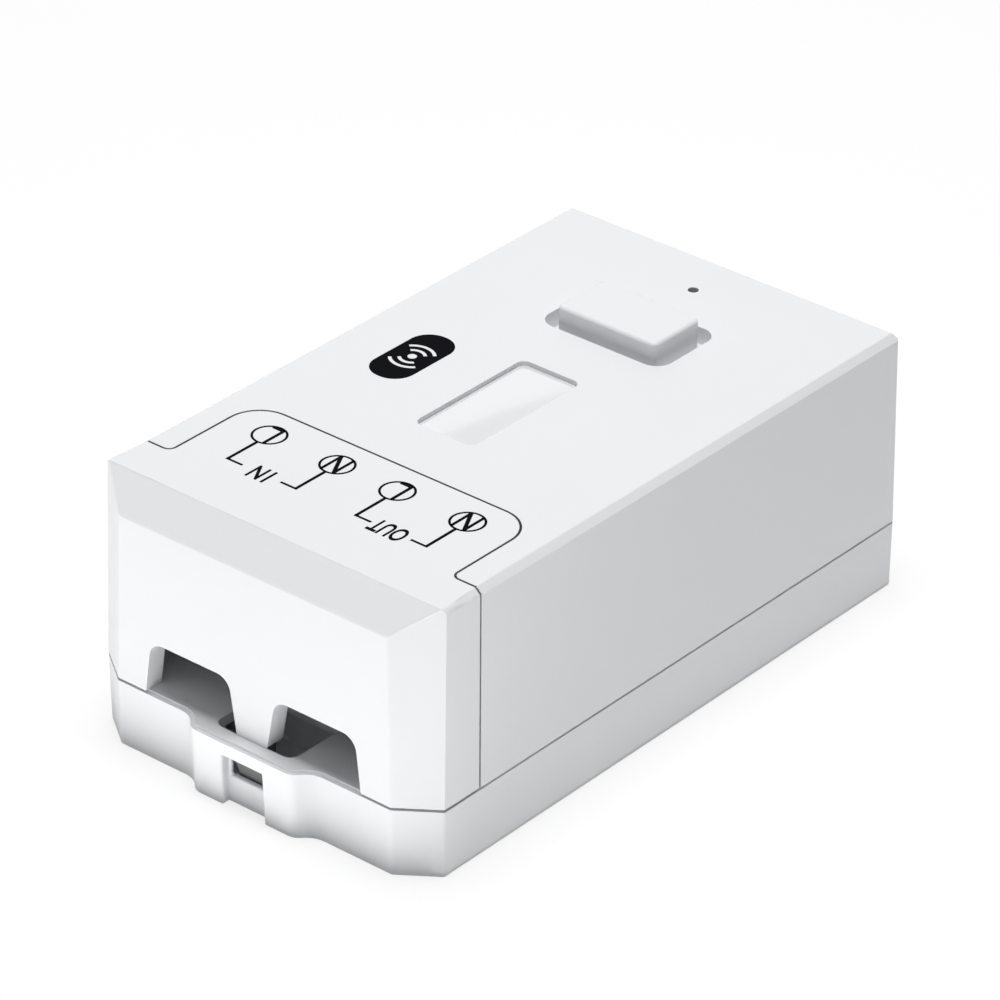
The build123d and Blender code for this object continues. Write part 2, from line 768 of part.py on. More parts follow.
def clamp_cage(x):
    """Square rising clamp with a threaded top and a window for the wire and the bar."""
    y_range = (pole_y - cage_depth / 2, pole_y + cage_depth / 2)
    side = cage_width / 2
    cage = box((x - side, x + side), y_range, (cage_z, cage_z + cage_height))
    opening = side - cage_side
    window = box((x - opening, x + opening), (y_range[0] - 1, y_range[1] + 1), (cage_z + cage_foot, nut_z))
    return cage - window - post(x, pole_y, screw_radius + screw_bore_gap, nut_z - 1, height)


def terminal_screw(x):
    """Clamp screw with a slotted cheese head, its tip just over the contact bar."""
    screw = prism(x, pole_y, screw_radius, nut_z, screw_head_z + 0.1)
    screw = screw + post(x, pole_y, screw_head_radius, screw_head_z, screw_head_z + screw_head_height)
    slot_z = screw_head_z + screw_head_height - screw_slot
    reach = screw_head_radius + 1
    return screw - box((x - reach, x + reach), (pole_y - screw_slot / 2, pole_y + screw_slot / 2), (slot_z, height))


def contact_bars():
    """Fixed contact bars with the legs that go down through the board."""
    bars = Part()
    for x in pole_xs:
        x_range = (x - bar_width / 2, x + bar_width / 2)
        leg_back = leg_front() + leg_thickness
        bar = box(x_range, (bar_front, leg_back), (bar_z, bar_top))
        leg = box(x_range, (leg_front(), leg_back), (power_board_z - leg_below_board, bar_top))
        bars = bars + (bar + leg)
    return bars


def power_relay():
    """Relay case with bevelled top edges."""
    case = block_on(relay_spot, relay_size, power_top)
    return chamfer(case.faces().sort_by(Axis.Z)[-1].edges(), 0.6)


def transformer_core():
    """Ferrite core round the bobbin, its two halves drawn as one ring."""
    outer = block_on(transformer_spot, core_size, power_top + core_lift)
    return outer - core_passage(core_size[1] + 2)


def core_passage(depth):
    """Block that fills the core's window, as long as asked."""
    size = (core_size[0] - 2 * core_leg, depth, core_size[2] - 2 * core_yoke)
    return block_on(transformer_spot, size, power_top + core_lift + core_yoke)


def transformer_bobbin():
    """Bobbin with two end flanges, the taped winding between them and the pin rails."""
    x, y = transformer_spot
    bobbin = core_passage(bobbin_size[1] - bobbin_flange)
    for side in (-1, 1):
        flange_y = y + side * (bobbin_size[1] - bobbin_flange) / 2
        rail_y = y + side * (bobbin_size[1] - bobbin_rail[1]) / 2
        flange = (bobbin_size[0], bobbin_flange, bobbin_size[2])
        bobbin = bobbin + block_on((x, flange_y), flange, power_top)
        bobbin = bobbin + block_on((x, rail_y), bobbin_rail, power_top)
    return bobbin


def suppressor_capacitor():
    """Box capacitor across the mains."""
    case = block_on(capacitor_spot, capacitor_size, power_top)
    return chamfer(case.faces().sort_by(Axis.Z)[-1].edges(), 0.5)


def smoothing_capacitors():
    """Upright can capacitors."""
    main = post(*main_can_spot, main_can_radius, power_top, power_top + main_can_height)
    front_x = half - front_can_inset
    return main + post(front_x, front_can_y, front_can_radius, power_top, power_top + front_can_height)


def varistor():
    """Surge disc on its two leads."""
    x, y = varistor_spot
    disc_z = power_top + varistor_lift + varistor_radius
    disc = Pos(x, y, disc_z) * Rot(90, 0, 0) * Cylinder(varistor_radius, varistor_thickness)
    for side in (-1, 1):
        lead = (varistor_lead, varistor_lead, disc_z - power_top)
        disc = disc + block_on((x + side * varistor_lead_x, y + side * varistor_lead_y), lead, power_top)
    return disc


def fuse():
    """Small upright fuse."""
    x, y = fuse_spot
    return post(x, y, fuse_radius, power_top, power_top + fuse_height)


def filter_choke():
    """Drum core choke in its shrink sleeve."""
    x, y = choke_spot
    return post(x, y, choke_radius, power_top, power_top + choke_height)


def led_ys():
    """Places of the indicator lights along the window."""
    first = window_y - led_pitch * (led_count - 1) / 2
    return [first + led_pitch * i for i in range(led_count)]


def status_leds():
    """Indicator lights in a row under the window."""
    return Part() + [block_on((0, y), led_size, radio_board_top) for y in led_ys()]


def light_shroud():
    """Light box with one cell for each indicator, between the board and the lens."""
    z_high = lens_foot
    x_size = window_width + 2 * shroud_wall
    y_size = window_length + 2 * shroud_wall
    frame = rounded_plate(x_size, y_size, window_radius, window_y, radio_board_top, z_high)
    cell_length = led_pitch - shroud_wall
    for y in led_ys():
        cell = (window_width - 2 * shroud_wall, cell_length, z_high)
        frame = frame - block_on((0, y), cell, radio_board_top - 1)
    return frame


def radio_module():
    """Plug-on radio board with its shielding can."""
    board = block_on(module_spot, module_board_size, radio_board_top)
    can = block_on(module_spot, module_can_size, radio_board_top + module_board_size[2] - 0.1)
    can = chamfer(can.faces().sort_by(Axis.Z)[-1].edges(), 0.3)
    return board + can


def control_chip():
    """Controller with its gull-wing pins as four combs."""
    chip = block_on(chip_spot, chip_size, radio_board_top + 0.1)
    comb = (chip_size[0] - 1.2, chip_size[1] + 2.0, 0.35)
    across = block_on(chip_spot, comb, radio_board_top)
    along = block_on(chip_spot, (comb[1], comb[0], comb[2]), radio_board_top)
    return chip + across + along


def wire_antenna():
    """Bent wire antenna that stands up from the board and runs along its edge."""
    high = radio_board_top + antenna_rise
    corner = (antenna_edge[0], length - antenna_corner_back, high)
    tip = (antenna_tip_x, length - antenna_tip_back, high)
    points = [(*antenna_foot, radio_board_top), (*antenna_foot, high), (*antenna_edge, high), corner, tip]
    path = FilletPolyline(*points, radius=antenna_bend)
    section = Plane(origin=path @ 0, z_dir=path % 0) * RegularPolygon(antenna_radius, antenna_sides)
    return sweep(section, path=path)


def case_screws():
    """Screws that come up from the underside and hold the two shells together at the back."""
    screws = Part()
    head_z = case_counterbore - case_head_height
    for x in (-case_post_x, case_post_x):
        screw = post(x, case_post_y, case_head_radius, head_z, case_counterbore)
        shank_top = case_counterbore + case_screw_length
        screw = screw + prism(x, case_post_y, case_screw_radius - pilot_gap, head_z + 0.1, shank_top)
        for cross in ((cross_length, cross_width), (cross_width, cross_length)):
            screw = screw - block_on((x, case_post_y), (*cross, cross_depth + 1), head_z - 1)
        screws = screws + screw
    return screws


def board_screws(spots, seat, tip):
    """Board screws with their heads on the seat level and their tips at the tip level."""
    up = math.copysign(1, tip - seat)
    head = (seat - up * board_head_height, seat)
    shank = (seat - up * 0.1, tip)
    screws = Part()
    for x, y in spots:
        screw = post(x, y, board_head_radius, min(head), max(head))
        screws = screws + (screw + prism(x, y, board_screw_radius - pilot_gap, min(shank), max(shank)))
    return screws


def build_parts():
    """Every piece of the receiver by its name."""
    parts = {
        "base_tray": base_tray(),
        "upper_housing": upper_housing(),
        "terminal_cover": terminal_cover(),
        "cover_latch": cover_latch(),
        "window_lens": window_lens(),
        "push_button": push_button(),
        "button_switch": switch_can(pocket_y),
        "button_plunger": button_plunger(),
        "reset_switch": switch_can(pinhole_y),
        "reset_plunger": reset_plunger(),
        "power_board": power_board(),
        "radio_board": radio_board(),
        "board_header": board_header(),
        "terminal_block": terminal_block(),
        "contact_bars": contact_bars(),
        "power_relay": power_relay(),
        "transformer_core": transformer_core(),
        "transformer_bobbin": transformer_bobbin(),
        "suppressor_capacitor": suppressor_capacitor(),
        "smoothing_capacitors": smoothing_capacitors(),
        "varistor": varistor(),
        "fuse": fuse(),
        "filter_choke": filter_choke(),
        "status_leds": status_leds(),
        "light_shroud": light_shroud(),
        "radio_module": radio_module(),
        "control_chip": control_chip(),
        "wire_antenna": wire_antenna(),
        "case_screws": case_screws(),
        "power_board_screws": board_screws(power_screw_spots, power_top, base_floor + screw_tip_gap),
        "radio_board_screws": board_screws(radio_screw_spots, radio_under, radio_under + board_screw_length),
    }
    for number, x in enumerate(pole_xs, start=1):
        parts[f"clamp_cage_{number}"] = clamp_cage(x)
        parts[f"terminal_screw_{number}"] = terminal_screw(x)
    return parts


def main():
    """Write one STEP file for each piece, with the origin under the middle of the box."""
    os.makedirs("parts", exist_ok=True)
    for name, solid in build_parts().items():
        export_step(Pos(0, -front_to_middle, 0) * solid, f"parts/{name}.step")


if __name__ == "__main__":
    main()
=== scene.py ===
"""Wireless in-line receiver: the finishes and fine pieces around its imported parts.

Lengths are metres in the frame of the parts: x to the right seen from the cable end,
y from the cable end towards the back, z up from the underside.
"""

import json
import math

import bmesh
import bpy
from bpy.props import FloatProperty, FloatVectorProperty, IntProperty, PointerProperty
from mathutils import Matrix, Vector
from mathutils.bvhtree import BVHTree


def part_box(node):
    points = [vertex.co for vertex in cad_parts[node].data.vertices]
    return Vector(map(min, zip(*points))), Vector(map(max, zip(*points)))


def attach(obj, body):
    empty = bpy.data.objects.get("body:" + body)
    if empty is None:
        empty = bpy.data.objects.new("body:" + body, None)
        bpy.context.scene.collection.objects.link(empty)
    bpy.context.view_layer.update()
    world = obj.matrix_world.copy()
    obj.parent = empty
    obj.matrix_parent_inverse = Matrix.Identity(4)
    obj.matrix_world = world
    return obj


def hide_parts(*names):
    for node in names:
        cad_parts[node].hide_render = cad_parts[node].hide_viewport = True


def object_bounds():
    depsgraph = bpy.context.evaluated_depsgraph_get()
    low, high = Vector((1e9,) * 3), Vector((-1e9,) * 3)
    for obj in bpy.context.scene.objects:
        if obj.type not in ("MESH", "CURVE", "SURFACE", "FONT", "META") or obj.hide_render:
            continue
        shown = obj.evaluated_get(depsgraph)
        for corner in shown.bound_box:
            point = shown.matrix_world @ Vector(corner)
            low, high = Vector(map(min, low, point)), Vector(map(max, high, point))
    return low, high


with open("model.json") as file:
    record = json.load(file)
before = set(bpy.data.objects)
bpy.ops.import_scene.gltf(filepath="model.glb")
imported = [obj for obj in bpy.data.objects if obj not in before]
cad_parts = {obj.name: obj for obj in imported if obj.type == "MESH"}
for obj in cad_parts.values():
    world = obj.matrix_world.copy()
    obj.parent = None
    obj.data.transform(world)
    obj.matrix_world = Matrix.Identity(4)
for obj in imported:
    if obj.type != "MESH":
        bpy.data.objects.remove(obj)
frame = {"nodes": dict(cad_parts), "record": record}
cad_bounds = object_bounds()

bl_info = {
    "name": "In-line receiver looks",
    "version": (1, 0, 0),
    "blender": (4, 5, 0),
    "location": "View3D > Sidebar > Receiver",
    "description": "Dresses the packed parts of a wireless in-line receiver",
    "category": "Object",
}

MM = 0.001
TOP = 34.2 * MM
FRONT_Y = -42.15 * MM
BODY_OF = {node: body for body, nodes in frame["record"]["behaviour"]["bodies"].items() for node in nodes}

# Copies of the CAD shapes: what counts as the same place, and how edges are found and rounded
SAME = 0.02 * MM
WELD_REACH = 0.002 * MM
FLAT_ANGLE = math.radians(0.6)
SHARP_ANGLE = math.radians(25)
RUN_ANGLE = math.radians(40)
ROOM_SHARE = 0.42
ROOM_SHARES = (0.02, 0.2, 0.5, 0.8, 0.98)
SEAM_REACH = 0.5 * MM
SEAM_SHARE = 0.35
RIM_REACH = 1.0 * MM
RIM_ROUND = 0.8 * MM
COVER_CUT_Y = -36 * MM
PINHOLE_REACH = 0.8 * MM
UPRIGHT = 0.7
FACING = 0.8
SPUN_FACETS = 48
SPUN_SHARP = math.radians(35)
CLAMP_HEAD = 1.8 * MM
HEAD_RIM = 0.05 * MM
# Turns of thread left off at either end of a shank
THREAD_CLEAR = 0.4
SHELLS = {
    "base_tray": "base_moulding", "upper_housing": "housing_moulding", "terminal_cover": "cover_moulding",
}


# Settings that a user would change

def length_setting(name, description, default, low, high):
    """Setting for a length, given in millimetres."""
    return FloatProperty(name=name, description=description, default=default * MM, min=low * MM,
                         max=high * MM, precision=6, unit="LENGTH")


def colour_setting(name, description, default):
    """Setting for a colour."""
    return FloatVectorProperty(name=name, description=description, subtype="COLOR", size=3,
                               min=0, max=1, default=default)


def angle_setting(name, description, degrees):
    """Setting for an angle, given in degrees."""
    return FloatProperty(name=name, description=description, default=math.radians(degrees),
                         subtype="ANGLE", unit="ROTATION")


class ShellSettings(bpy.types.PropertyGroup):
    """White mouldings: both shells, the terminal cover, the lens and the button."""

    colour: colour_setting("Shell colour", "Colour of the white mouldings", (0.845, 0.855, 0.87))
    lens_colour: colour_setting("Lens colour", "Colour of the milky indicator window", (0.715, 0.72, 0.735))
    edge_softness: length_setting("Edge softness", "Radius left on the moulded edges", 0.3, 0.05, 0.6)
    grain_size: length_setting("Grain size", "Size of the spark-eroded grain on the mouldings", 0.35, 0.1, 2)


class MarkSettings(bpy.types.PropertyGroup):
    """Printed marks on the top."""

    ink_colour: colour_setting("Ink colour", "Colour of the printed marks", (0.003, 0.003, 0.004))
    ink_height: length_setting("Ink height", "How far the print stands up from the plastic", 0.02, 0.005, 0.1)
    ring_radius: length_setting("Ring radius", "Radius of the ring round each terminal letter", 2.0, 1, 3)
    ring_line: length_setting("Ring line", "Line width of the rings", 0.3, 0.1, 0.6)
    leader_line: length_setting("Leader line", "Line width of the leaders below the rings", 0.42, 0.1, 0.6)
    leader_length: length_setting("Leader length", "Length of the leaders", 5.0, 2, 7)
    foot_length: length_setting("Foot length", "Length of the short turn at the end of a leader", 2.2, 0.5, 4)
    word_height: length_setting("Word height", "Capital height of the words on the cover", 2.8, 1, 4)


class ScrewSettings(bpy.types.PropertyGroup):
    """Threads and heads of the screws."""

    clamp_pitch: length_setting("Clamp screw pitch", "Rise of the clamp screws in a turn", 0.6, 0.3, 1)
    plastic_pitch: length_setting("Plastic screw pitch", "Rise of the threads cut in plastic", 1.1, 0.5, 2)
    facets: IntProperty(
        name="Screw facets", description="Sides of the round screw parts", default=40, min=12, max=96,
    )


class StageSettings(bpy.types.PropertyGroup):
    """Camera, lamps and floor."""

    azimuth: angle_setting("Camera azimuth", "Turn of the camera round the object", 39.194)
    elevation: angle_setting("Camera elevation", "Height angle of the camera", 30.359)
    roll: angle_setting("Camera roll", "Tilt of the picture", 1.013)
    camera_place: FloatVectorProperty(
        name="Camera place", description="Where the camera stands",
        subtype="TRANSLATION", size=3, default=(0.34725, -0.42531, 0.34294), precision=5, unit="LENGTH",
    )
    focal_length: FloatProperty(
        name="Focal length", description="Lens of the camera on a 36 mm sensor, in millimetres",
        default=199.9, min=20, max=400,
    )
    sky: FloatProperty(
        name="Sky strength", description="Strength of the even light from all round",
        default=0.2, min=0, max=2,
    )
    floor_tone: FloatProperty(
        name="Floor tone", description="Brightness of the floor in the object's light",
        default=0.8, min=0, max=1, subtype="FACTOR",
    )


# Small tools

def new_object(name, mesh):
    """Object at the origin that shows the mesh or curve."""
    obj = bpy.data.objects.new(name, mesh)
    bpy.context.scene.collection.objects.link(obj)
    return obj


def make_plain(obj):
    """Apply all modifiers, and leave a plain mesh."""
    evaluated = obj.evaluated_get(bpy.context.evaluated_depsgraph_get())
    mesh = bpy.data.meshes.new_from_object(evaluated)
    obj.modifiers.clear()
    if obj.type == "MESH":
        obj.data = mesh
        return obj
    name = obj.name
    bpy.data.objects.remove(obj)
    return new_object(name, mesh)


def soften(obj, radius, neighbours=(), segments=3):
    """Round the edges, less along the seams to the neighbours, and leave a plain mesh."""
    obj.data.shade_smooth()
    weigh_edges(obj.data, neighbours, radius)
    bevel = obj.modifiers.new("edges", "BEVEL")
    bevel.width = radius
    bevel.segments = segments
    bevel.limit_method = "WEIGHT"
    bevel.use_clamp_overlap = False
    obj.modifiers.new("flats", "WEIGHTED_NORMAL").weight = 100
    return make_plain(obj)


def weigh_edges(mesh, neighbours, radius):
    """Bevel weight of the sharp edges, one for a whole run: less along a seam or by a narrow face."""
    trees = trees_of(neighbours)
    shape = bmesh.new()
    shape.from_mesh(mesh)
    weight = shape.edges.layers.float.new("bevel_weight_edge")
    sharp = {edge for edge in shape.edges if edge.is_manifold and edge.calc_face_angle() > SHARP_ANGLE}
    while sharp:
        run = take_run(sharp)
        room = min(room_beside(loop) for edge in run for loop in edge.link_loops)
        middles = [(edge.verts[0].co + edge.verts[1].co) / 2 for edge in run]
        near = any(tree.find_nearest(middle, SEAM_REACH)[0] for middle in middles for tree in trees)
        crisp = near or all(map(on_top_rim, middles))
        for edge in run:
            edge[weight] = min(SEAM_SHARE if crisp else 1, ROOM_SHARE * room / radius)
    shape.to_mesh(mesh)
    shape.free()


def on_top_rim(place):
    """Whether a place lies on the bevelled outer edge of the top."""
    side = min(cad_bounds[1].x - abs(place.x), cad_bounds[1].y - place.y)
    return TOP - RIM_REACH < place.z < TOP + SAME and side < 2 * RIM_REACH


def take_run(sharp):
    """Take one edge out of the set, with all that carry on from it without a corner."""
    run = []
    waiting = [sharp.pop()]
    while waiting:
        edge = waiting.pop()
        run.append(edge)
        for vert in edge.verts:
            inward = edge.other_vert(vert).co - vert.co
            for other in vert.link_edges:
                if other in sharp and inward.angle(vert.co - other.other_vert(vert).co) < RUN_ANGLE:
                    sharp.remove(other)
                    waiting.append(other)
    return run


def room_beside(loop):
    """Smallest distance from an edge straight across its face to the next edge."""
    start, end = loop.vert.co, loop.link_loop_next.vert.co
    along = (end - start).normalized()
    inward = loop.face.normal.cross(along)
    room = 1.0
    for share in ROOM_SHARES:
        place = start.lerp(end, share)
        for edge in loop.face.edges:
            (a, b), (c, d) = [((v.co - place).dot(along), (v.co - place).dot(inward)) for v in edge.verts]
            if a * c < 0:
                reach = b + (d - b) * a / (a - c)
                if reach > SAME / 2:
                    room = min(room, reach)
    return room


def flatten_rim(shape):
    """Turn the round outer edge of the top into the flat bevel that it is between its two lines."""
    rim = [v.co for v in shape.verts if v.co.z > TOP - RIM_REACH and abs(v.co.x) < cad_bounds[1].x]
    on_top = [p for p in rim if p.z > TOP - SAME / 4]
    inner_x, inner_y = max(p.x for p in on_top), max(p.y for p in on_top)
    for vert in shape.verts:
        out = Vector((max(abs(vert.co.x) - inner_x, 0), max(vert.co.y - inner_y, 0)))
        reach, rise = out.length / RIM_ROUND, (vert.co.z - TOP) / RIM_ROUND + 1
        if reach > 0 and rise > 0 and vert.co.y > COVER_CUT_Y:
            inwards = max(reach + rise - 1, 0) / 2
            out *= (reach - inwards) / reach
            vert.co.z -= inwards * RIM_ROUND
            vert.co.x = math.copysign(min(abs(vert.co.x), inner_x) + out.x, vert.co.x)
            vert.co.y = min(vert.co.y, inner_y) + out.y


def cad_copy(node, name):
    """Copy of a CAD node with its loose triangles merged and its flats made whole."""
    mesh = frame["nodes"][node].data.copy()
    mesh.name = name
    mesh.materials.clear()
    shape = bmesh.new()
    shape.from_mesh(mesh)
    bmesh.ops.remove_doubles(shape, verts=shape.verts, dist=WELD_REACH)
    if node in ("upper_housing", "terminal_cover"):
        flatten_rim(shape)
    bmesh.ops.dissolve_limit(shape, angle_limit=FLAT_ANGLE, verts=shape.verts[:], edges=shape.edges[:])
    shape.to_mesh(mesh)
    shape.free()
    for layer in ("custom_normal", "sharp_face"):
        if layer in mesh.attributes:
            mesh.attributes.remove(mesh.attributes[layer])
    return new_object(name, mesh)


def settle(obj, node, material=None, stands_for=()):
    """Give a piece its material and its body from the CAD node it belongs to."""
    if material is not None:
        obj.data.materials.clear()
        obj.data.materials.append(material)
    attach(obj, BODY_OF[node])
    if stands_for:
        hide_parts(*stands_for)
    return obj


def soft_copy(node, name, key, radius, neighbours=()):
    """Softened copy of a CAD node in a finish, which takes the node's place."""
    return settle(soften(cad_copy(node, name), radius, neighbours), node, finish(key), (node,))


def trees_of(nodes):
    """Search trees over the CAD surfaces of the nodes."""
    meshes = [frame["nodes"][node].data for node in nodes]
    return [BVHTree.FromPolygons([v.co for v in mesh.vertices], [p.vertices for p in mesh.polygons])
            for mesh in meshes]


def middle_of(node):
    """Middle of the box round a CAD node."""
    return [(a + b) / 2 for a, b in zip(*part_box(node))]


def limits(points):
    """Lowest and highest corner of the points."""
    return [[pick(values) for values in zip(*points)] for pick in (min, max)]


def mesh_object(name, shape):
    """Object from a finished bmesh."""
    mesh = bpy.data.meshes.new(name)
    shape.to_mesh(mesh)
    shape.free()
    return new_object(name, mesh)


def shade_pinhole(obj):
    """Give the walls of the bore over the reset pin the painted shade too, standing in for the dark of the
    deep hole.
    """
    axis = Vector(middle_of("reset_plunger")).xy
    pin_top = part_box("reset_plunger")[1].z
    for face in obj.data.polygons:
        beside = (face.center.xy - axis).length < PINHOLE_REACH
        if beside and abs(face.normal.z) < UPRIGHT and face.center.z > pin_top:
            face.material_index = 1


def shade_seams(obj, neighbours):
    """Give the walls that face a neighbour across a seam a painted shade: a darker tone of the white that
    stands in for the shade in the gap.
    """
    trees = trees_of(neighbours)
    for face in obj.data.polygons:
        for tree in trees:
            nearest = tree.find_nearest(face.center, SEAM_REACH)[0]
            if nearest and (nearest - face.center).normalized().dot(face.normal) > FACING:
                face.material_index = 1


def paint(obj, key, chosen):
    """Second finish on the faces whose middle and normal pass the test."""
    obj.data.materials.append(finish(key))
    for face in obj.data.polygons:
        if chosen(face.center, face.normal):
            face.material_index = len(obj.data.materials) - 1


def joined(name, objects):
    """One mesh object from several."""
    shape = bmesh.new()
    for obj in objects:
        shape.from_mesh(obj.data)
        bpy.data.objects.remove(obj)
    return mesh_object(name, shape)


def spun(name, profile, place):
    """Closed turned shape from (radius, height) pairs, which start and end on the axis."""
    shape = bmesh.new()
    turns = [2 * math.pi * i / SPUN_FACETS for i in range(SPUN_FACETS)]
    rows = []
    for radius, height in profile:
        around = turns if radius else turns[:1]
        rows.append([shape.verts.new((radius * math.cos(t), radius * math.sin(t), height)) for t in around])
    for low, high in zip(rows, rows[1:]):
        for i in range(SPUN_FACETS):
            near, far = ([row[i % len(row)], row[(i + 1) % len(row)]] for row in (low, high))
            face = list(dict.fromkeys([*near, *reversed(far)]))
            if len(face) > 2:
                shape.faces.new(face)
    bmesh.ops.recalc_face_normals(shape, faces=shape.faces)
    bmesh.ops.translate(shape, verts=shape.verts, vec=place)
    obj = mesh_object(name, shape)
    obj.data.shade_smooth()
    obj.data.set_sharp_from_angle(angle=SPUN_SHARP)
    return obj


def put(tree, kind, inputs=None, **settings):
    """Add a node to a tree; an input is a constant or another node's output."""
    node = tree.nodes.new(kind)
    for key, value in settings.items():
        setattr(node, key, value)
    for key, value in (inputs or {}).items():
        if isinstance(value, bpy.types.NodeSocket):
            tree.links.new(value, node.inputs[key])
        else:
            node.inputs[key].default_value = value
    return node


def calc(tree, operation, first, second):
    """One sum in a tree."""
    return made(tree, "ShaderNodeMath", {0: first, 1: second}, operation=operation)


# Materials

def start_material(name, **sockets):
    """Material with its Principled shader set from constants; also gives its Object coordinates."""
    material = bpy.data.materials.new(name)
    material.use_nodes = True
    tree = material.node_tree
    shader = tree.nodes["Principled BSDF"]
    for label, value in sockets.items():
        shader.inputs[label.replace("_", " ").title().replace("Ior", "IOR")].default_value = value
    coords = put(tree, "ShaderNodeTexCoord").outputs["Object"]
    return material, tree, shader, coords


def noise(tree, coords, size, detail=2, stretch=(1, 1, 1)):
    """Noise whose features are about the given size, drawn out along the stretched axes."""
    scaled = put(tree, "ShaderNodeMapping", {"Vector": coords, "Scale": stretch}).outputs["Vector"]
    node = put(tree, "ShaderNodeTexNoise", {"Vector": scaled, "Scale": 1 / size, "Detail": detail})
    return node.outputs["Fac"]


def blend_colours(tree, shader, factor, low, high):
    """Colour that runs between two tones with the factor."""
    mix = put(tree, "ShaderNodeMix", {"Factor": factor}, data_type="RGBA")
    mix.inputs[6].default_value = (*low, 1)
    mix.inputs[7].default_value = (*high, 1)
    tree.links.new(mix.outputs[2], shader.inputs["Base Color"])


def relief(tree, shader, height, depth):
    """Bump of the given depth from a height pattern."""
    bump = put(tree, "ShaderNodeBump", {"Height": height, "Distance": depth, "Strength": 1.0})
    tree.links.new(bump.outputs["Normal"], shader.inputs["Normal"])


def vary_roughness(tree, shader, factor, low, high):
    """Roughness that runs between two values with the factor."""
    node = put(tree, "ShaderNodeMapRange", {"Value": factor, "To Min": low, "To Max": high})
    tree.links.new(node.outputs["Result"], shader.inputs["Roughness"])


def toned(colour, share):
    """The colour made lighter or darker by a share."""
    return tuple(min(1, c * (1 + share)) for c in colour)


def moulded(name, colour, rough=0.5, grain=0.35 * MM, depth=0.004 * MM, mottle=0.012, **sockets):
    """Moulded plastic: spark-eroded grain, with a faint mottle and flow marks."""
    material, tree, shader, coords = start_material(name, **sockets)
    flow = noise(tree, coords, 14 * MM, 3)
    blend_colours(tree, shader, flow, toned(colour, -mottle), toned(colour, mottle))
    vary_roughness(tree, shader, flow, rough - 0.04, rough + 0.06)
    relief(tree, shader, noise(tree, coords, grain, 3), depth)
    return material


def plated(name, colour, rough=0.3, stretch=(1, 1, 8), grain=0.2 * MM):
    """Plated or rolled metal with fine drawn lines and dull patches."""
    material, tree, shader, coords = start_material(name, metallic=1.0)
    lines = noise(tree, coords, grain, 4, stretch)
    patches = noise(tree, coords, 3 * MM, 2)
    blend_colours(tree, shader, patches, toned(colour, -0.1), toned(colour, 0.06))
    vary_roughness(tree, shader, lines, rough - 0.08, rough + 0.14)
    relief(tree, shader, lines, 0.003 * MM)
    return material


def dipped(name, colour, rough=0.25, wave=1.6 * MM, depth=0.03 * MM):
    """Dipped or shrunk coat: glossy, with a slow unevenness."""
    material, tree, shader, coords = start_material(name, coat_weight=0.5, coat_roughness=0.12)
    uneven = noise(tree, coords, wave, 2)
    blend_colours(tree, shader, uneven, toned(colour, -0.12), toned(colour, 0.1))
    vary_roughness(tree, shader, uneven, rough, rough + 0.12)
    relief(tree, shader, uneven, depth)
    return material


def solder_mask(name, colour):
    """Board lacquer over copper tracks, which show as lighter raised runs."""
    material, tree, shader, coords = start_material(
        name, roughness=0.38, coat_weight=0.6, coat_roughness=0.15)
    bend = put(tree, "ShaderNodeTexNoise", {"Vector": coords, "Scale": 60.0, "Detail": 0.0}).outputs["Fac"]
    runs = put(tree, "ShaderNodeTexVoronoi", {"Vector": coords, "Scale": 260.0},
               feature="F2", distance="MANHATTAN").outputs["Distance"]
    saw = calc(tree, "PINGPONG", calc(tree, "ADD", runs, bend), 0.28)
    step = made(tree, "ShaderNodeMapRange", {"Value": saw, "From Min": 0.12, "From Max": 0.16})
    blend_colours(tree, shader, step, toned(colour, -0.25), toned(colour, 0.35))
    relief(tree, shader, step, 0.03 * MM)
    return material


def taped(name, colour):
    """Winding under tape: the turns telegraph through in fine bands."""
    material, tree, shader, coords = start_material(name, roughness=0.4, coat_weight=0.3)
    bands = {"Vector": coords, "Scale": 700.0, "Distortion": 0.6, "Detail": 1.0}
    turns = put(tree, "ShaderNodeTexWave", bands, bands_direction="Y").outputs["Fac"]
    blend_colours(tree, shader, turns, toned(colour, -0.14), toned(colour, 0.05))
    relief(tree, shader, turns, 0.04 * MM)
    return material


def printed(name, colour):
    """Pad-printed ink with a slightly broken surface."""
    material, tree, shader, coords = start_material(name, specular_ior_level=0.02)
    speck = noise(tree, coords, 0.15 * MM, 3)
    blend_colours(tree, shader, speck, colour, toned(colour, 1.2))
    vary_roughness(tree, shader, speck, 0.7, 0.9)
    return material


FINISHES = {}


def finish(key):
    """Material for a finish, made the first time it is asked for."""
    if key not in FINISHES:
        FINISHES[key] = make_finish(key)
    return FINISHES[key]


